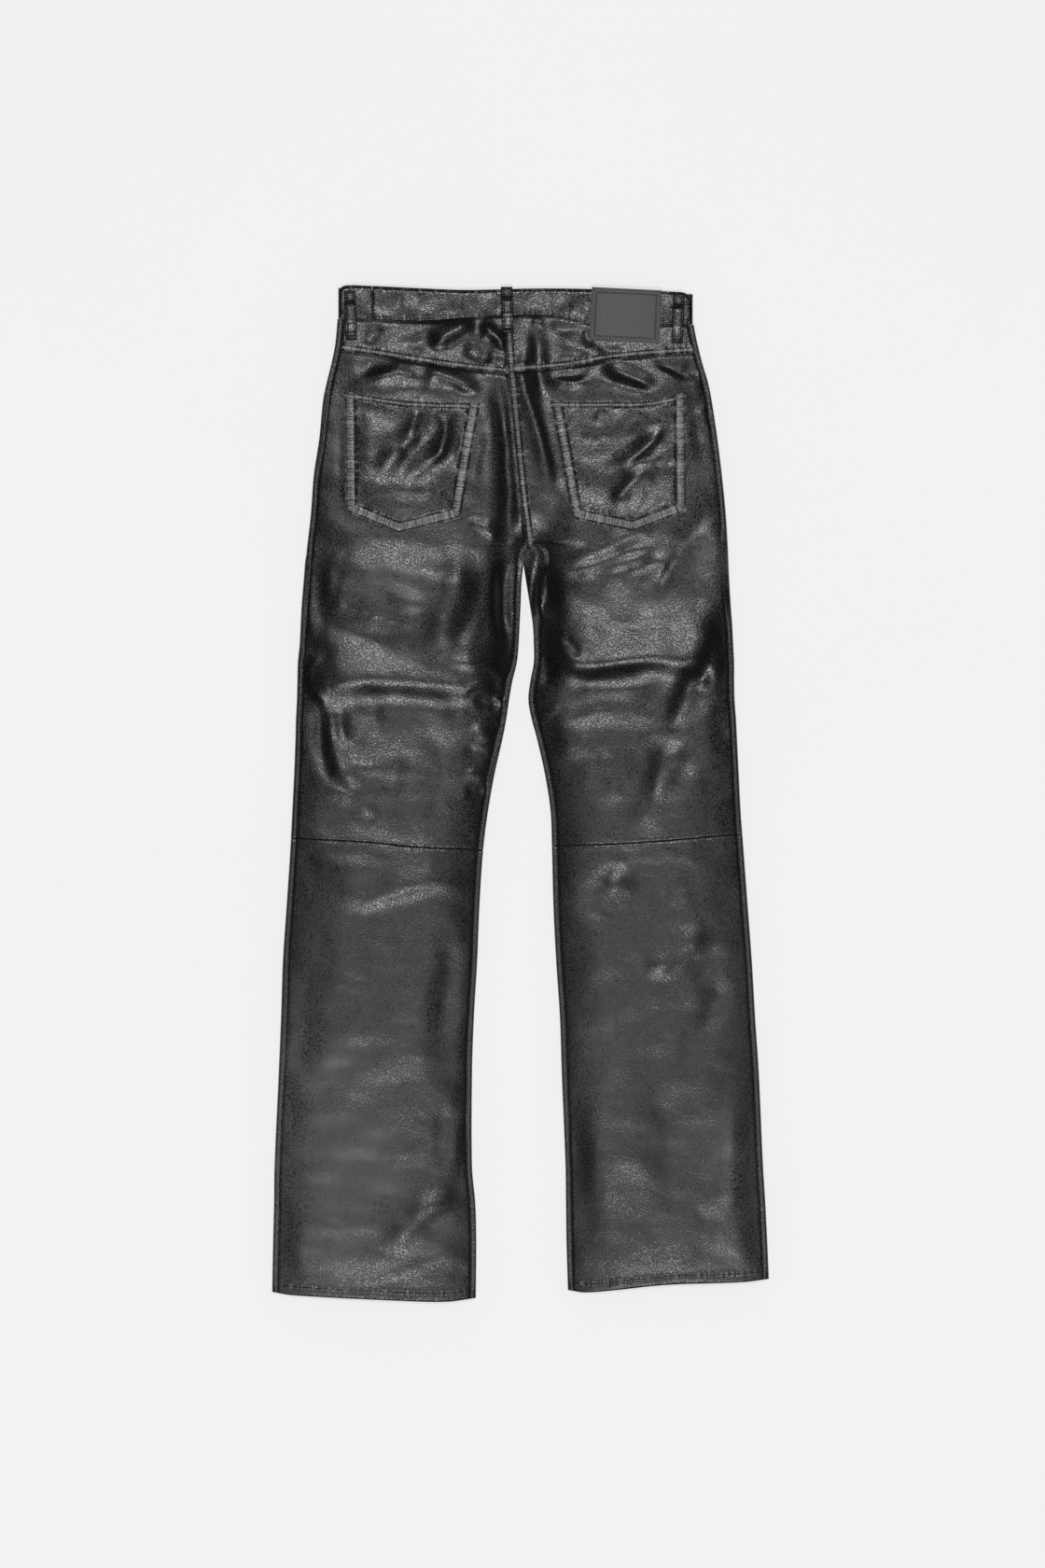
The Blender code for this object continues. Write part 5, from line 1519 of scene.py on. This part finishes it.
def thread_finish():
    """Waxed black thread: twisted strands."""
    finish = Finish("black thread")
    strands = finish.noise(finish.place(), 0.0006, 2.0)
    finish.set(Base_Color=finish.blend(strands, (0.006, 0.006, 0.0065), (0.018, 0.018, 0.019)),
               Roughness=0.5 + strands * 0.2)
    finish.bump(strands * 0.08)
    return finish.material


def metal_finish():
    """Darkened button metal with fine scratches."""
    finish = Finish("button metal")
    scratches = finish.noise(finish.place(), 0.0009, 3.0)
    finish.set(Base_Color=finish.blend(scratches, (0.24, 0.235, 0.23), (0.4, 0.39, 0.38)), Metallic=1.0,
               Roughness=0.26 + scratches * 0.14)
    finish.bump(scratches * 0.015)
    return finish.material


def floor_finish():
    """A plain pale studio floor."""
    finish = Finish("pale floor")
    clouds = finish.noise(finish.place(), 0.5)
    finish.set(Base_Color=finish.blend(clouds, (0.58, 0.58, 0.58), (0.60, 0.60, 0.60)), Roughness=0.9,
               Specular_IOR_Level=0.1, Emission_Color=(1.0, 1.0, 1.0, 1.0), Emission_Strength=FLOOR_GLOW)
    return finish.material


# ---------------------------------------------------------------- the garment
def sew_garment():
    leather = leather_finish("black leather", (0.0035, 0.0034, 0.0037), (0.0060, 0.0059, 0.0061), 0.275,
                             0.05, warm=(0.0095, 0.0086, 0.0080))
    trim = leather_finish("band leather", (0.0045, 0.0044, 0.0047), (0.0085, 0.0083, 0.0087), 0.25, 0.1)
    thread_black = thread_finish()
    for side, name in ((-1, "left"), (1, "right")):
        def on_panel(x, y):
            return panel_level(side, x, y)

        front_panel("front_upper_" + name, side, waist_seam, knee_edge, leather)
        front_panel("front_lower_" + name, side, knee_edge, hem_line, leather, TONGUE)
        seat = (seat_line(SEAT_ROW_YOKE, SEAT_ROW_END),) if side > 0 else ()
        seat_above = (seat_line(SEAT_ROW_TOP, SEAT_ROW_YOKE),) if side > 0 else ()
        back_panel("yoke_" + name, side, band_seam, yoke_seam[side], YOKE_STEP,
                   (yoke_line(side), *seat_above), leather)
        back_panel("back_upper_" + name, side, yoke_seam[side], knee_seam[side], PANEL_STEP, seat,
                   leather)
        back_panel("back_lower_" + name, side, knee_seam[side], hem_edge[side], PANEL_STEP,
                   (hem_sewn(side),), leather, TONGUE)
        back_pocket("pocket_back_" + name, side, trim)

        stitches = Thread("stitches_back_" + name, thread_black)
        stitches.line(yoke_line(side), on_panel)
        if side > 0:
            stitches.line(seat_line(SEAT_ROW_TOP, SEAT_ROW_END), on_panel)
        for sewn in pocket_lines(side):
            stitches.line(sewn, lambda x, y: pocket_level(side, x, y))
        stitches.line(hem_sewn(side), on_panel)
        stitches.make()

    band_back(trim)
    band_end("waistband_left", -1, trim)
    band_end("waistband_right", 1, trim)
    stitches = Thread("stitches_band", thread_black)
    for sewn in band_lines(*BAND_ROW_ENDS):
        stitches.line(sewn, band_level)
    for loop in BACK_LOOPS:
        belt_loop(loop, stitches, trim)
    label_patch(label_finish(), stitches)
    for name in ("belt_loop_front_left", "belt_loop_front_right"):
        front_loop(name, trim, stitches)
    fly_flap(leather, stitches)
    stitches.make()
    waist_button(metal_finish())


# ---------------------------------------------------------------- studio
def lay_floor():
    nothing_selected()
    bpy.ops.mesh.primitive_plane_add(size=FLOOR_SIZE, location=(0.0, 0.0, -FLOOR_DROP))
    bpy.ops.object.transform_apply(location=True, rotation=True, scale=True)
    floor = bpy.context.object
    floor.name = "floor"
    floor.data.materials.append(floor_finish())


def stand(name, data, place):
    """Puts a lamp or the camera at its place."""
    thing = bpy.data.objects.new(name, data)
    bpy.context.scene.collection.objects.link(thing)
    thing.location = place
    return thing


def softbox(name, place, size, power):
    """A square light that faces the middle of the garment."""
    lamp = bpy.data.lights.new(name, "AREA")
    lamp.shape = "RECTANGLE"
    lamp.size = lamp.size_y = size
    lamp.energy = power
    light = stand(name, lamp, place)
    light.rotation_euler = (-math.atan2(place[1], place[2]), math.asin(place[0] / math.hypot(*place)), 0.0)


def light_studio():
    softbox("head softbox", (0.0, 3.0, 12.6), 2.0, HEAD_POWER)
    softbox("foot softbox", (0.0, -3.6, 12.5), 2.2, FOOT_POWER)
    world = bpy.data.worlds.new("studio")
    world.use_nodes = True
    room = Room(world)
    walls = room.soft_step(room.parts(room.place())[2], WALL_TOP, WALL_FULL)
    room.set(Strength=walls * (WALL_LIGHT - ROOM_LIGHT) + ROOM_LIGHT)
    bpy.context.scene.world = world
    bpy.context.scene.view_settings.view_transform = "Standard"


def place_camera():
    camera = bpy.data.cameras.new("camera")
    camera.lens = LENS
    camera.sensor_width = SENSOR
    camera.sensor_fit = "AUTO"
    aim_x = (SHEET_SIZE[0] / 2 - SHEET_CENTRE[0]) / 1000.0
    aim_y = (SHEET_CENTRE[1] - SHEET_SIZE[1] / 2) / 1000.0
    height = SHEET_SIZE[1] / 1000.0 * LENS / SENSOR + VIEW_LEVEL
    bpy.context.scene.camera = stand("camera", camera, (aim_x, aim_y, height))


sew_garment()
lay_floor()
light_studio()
place_camera()
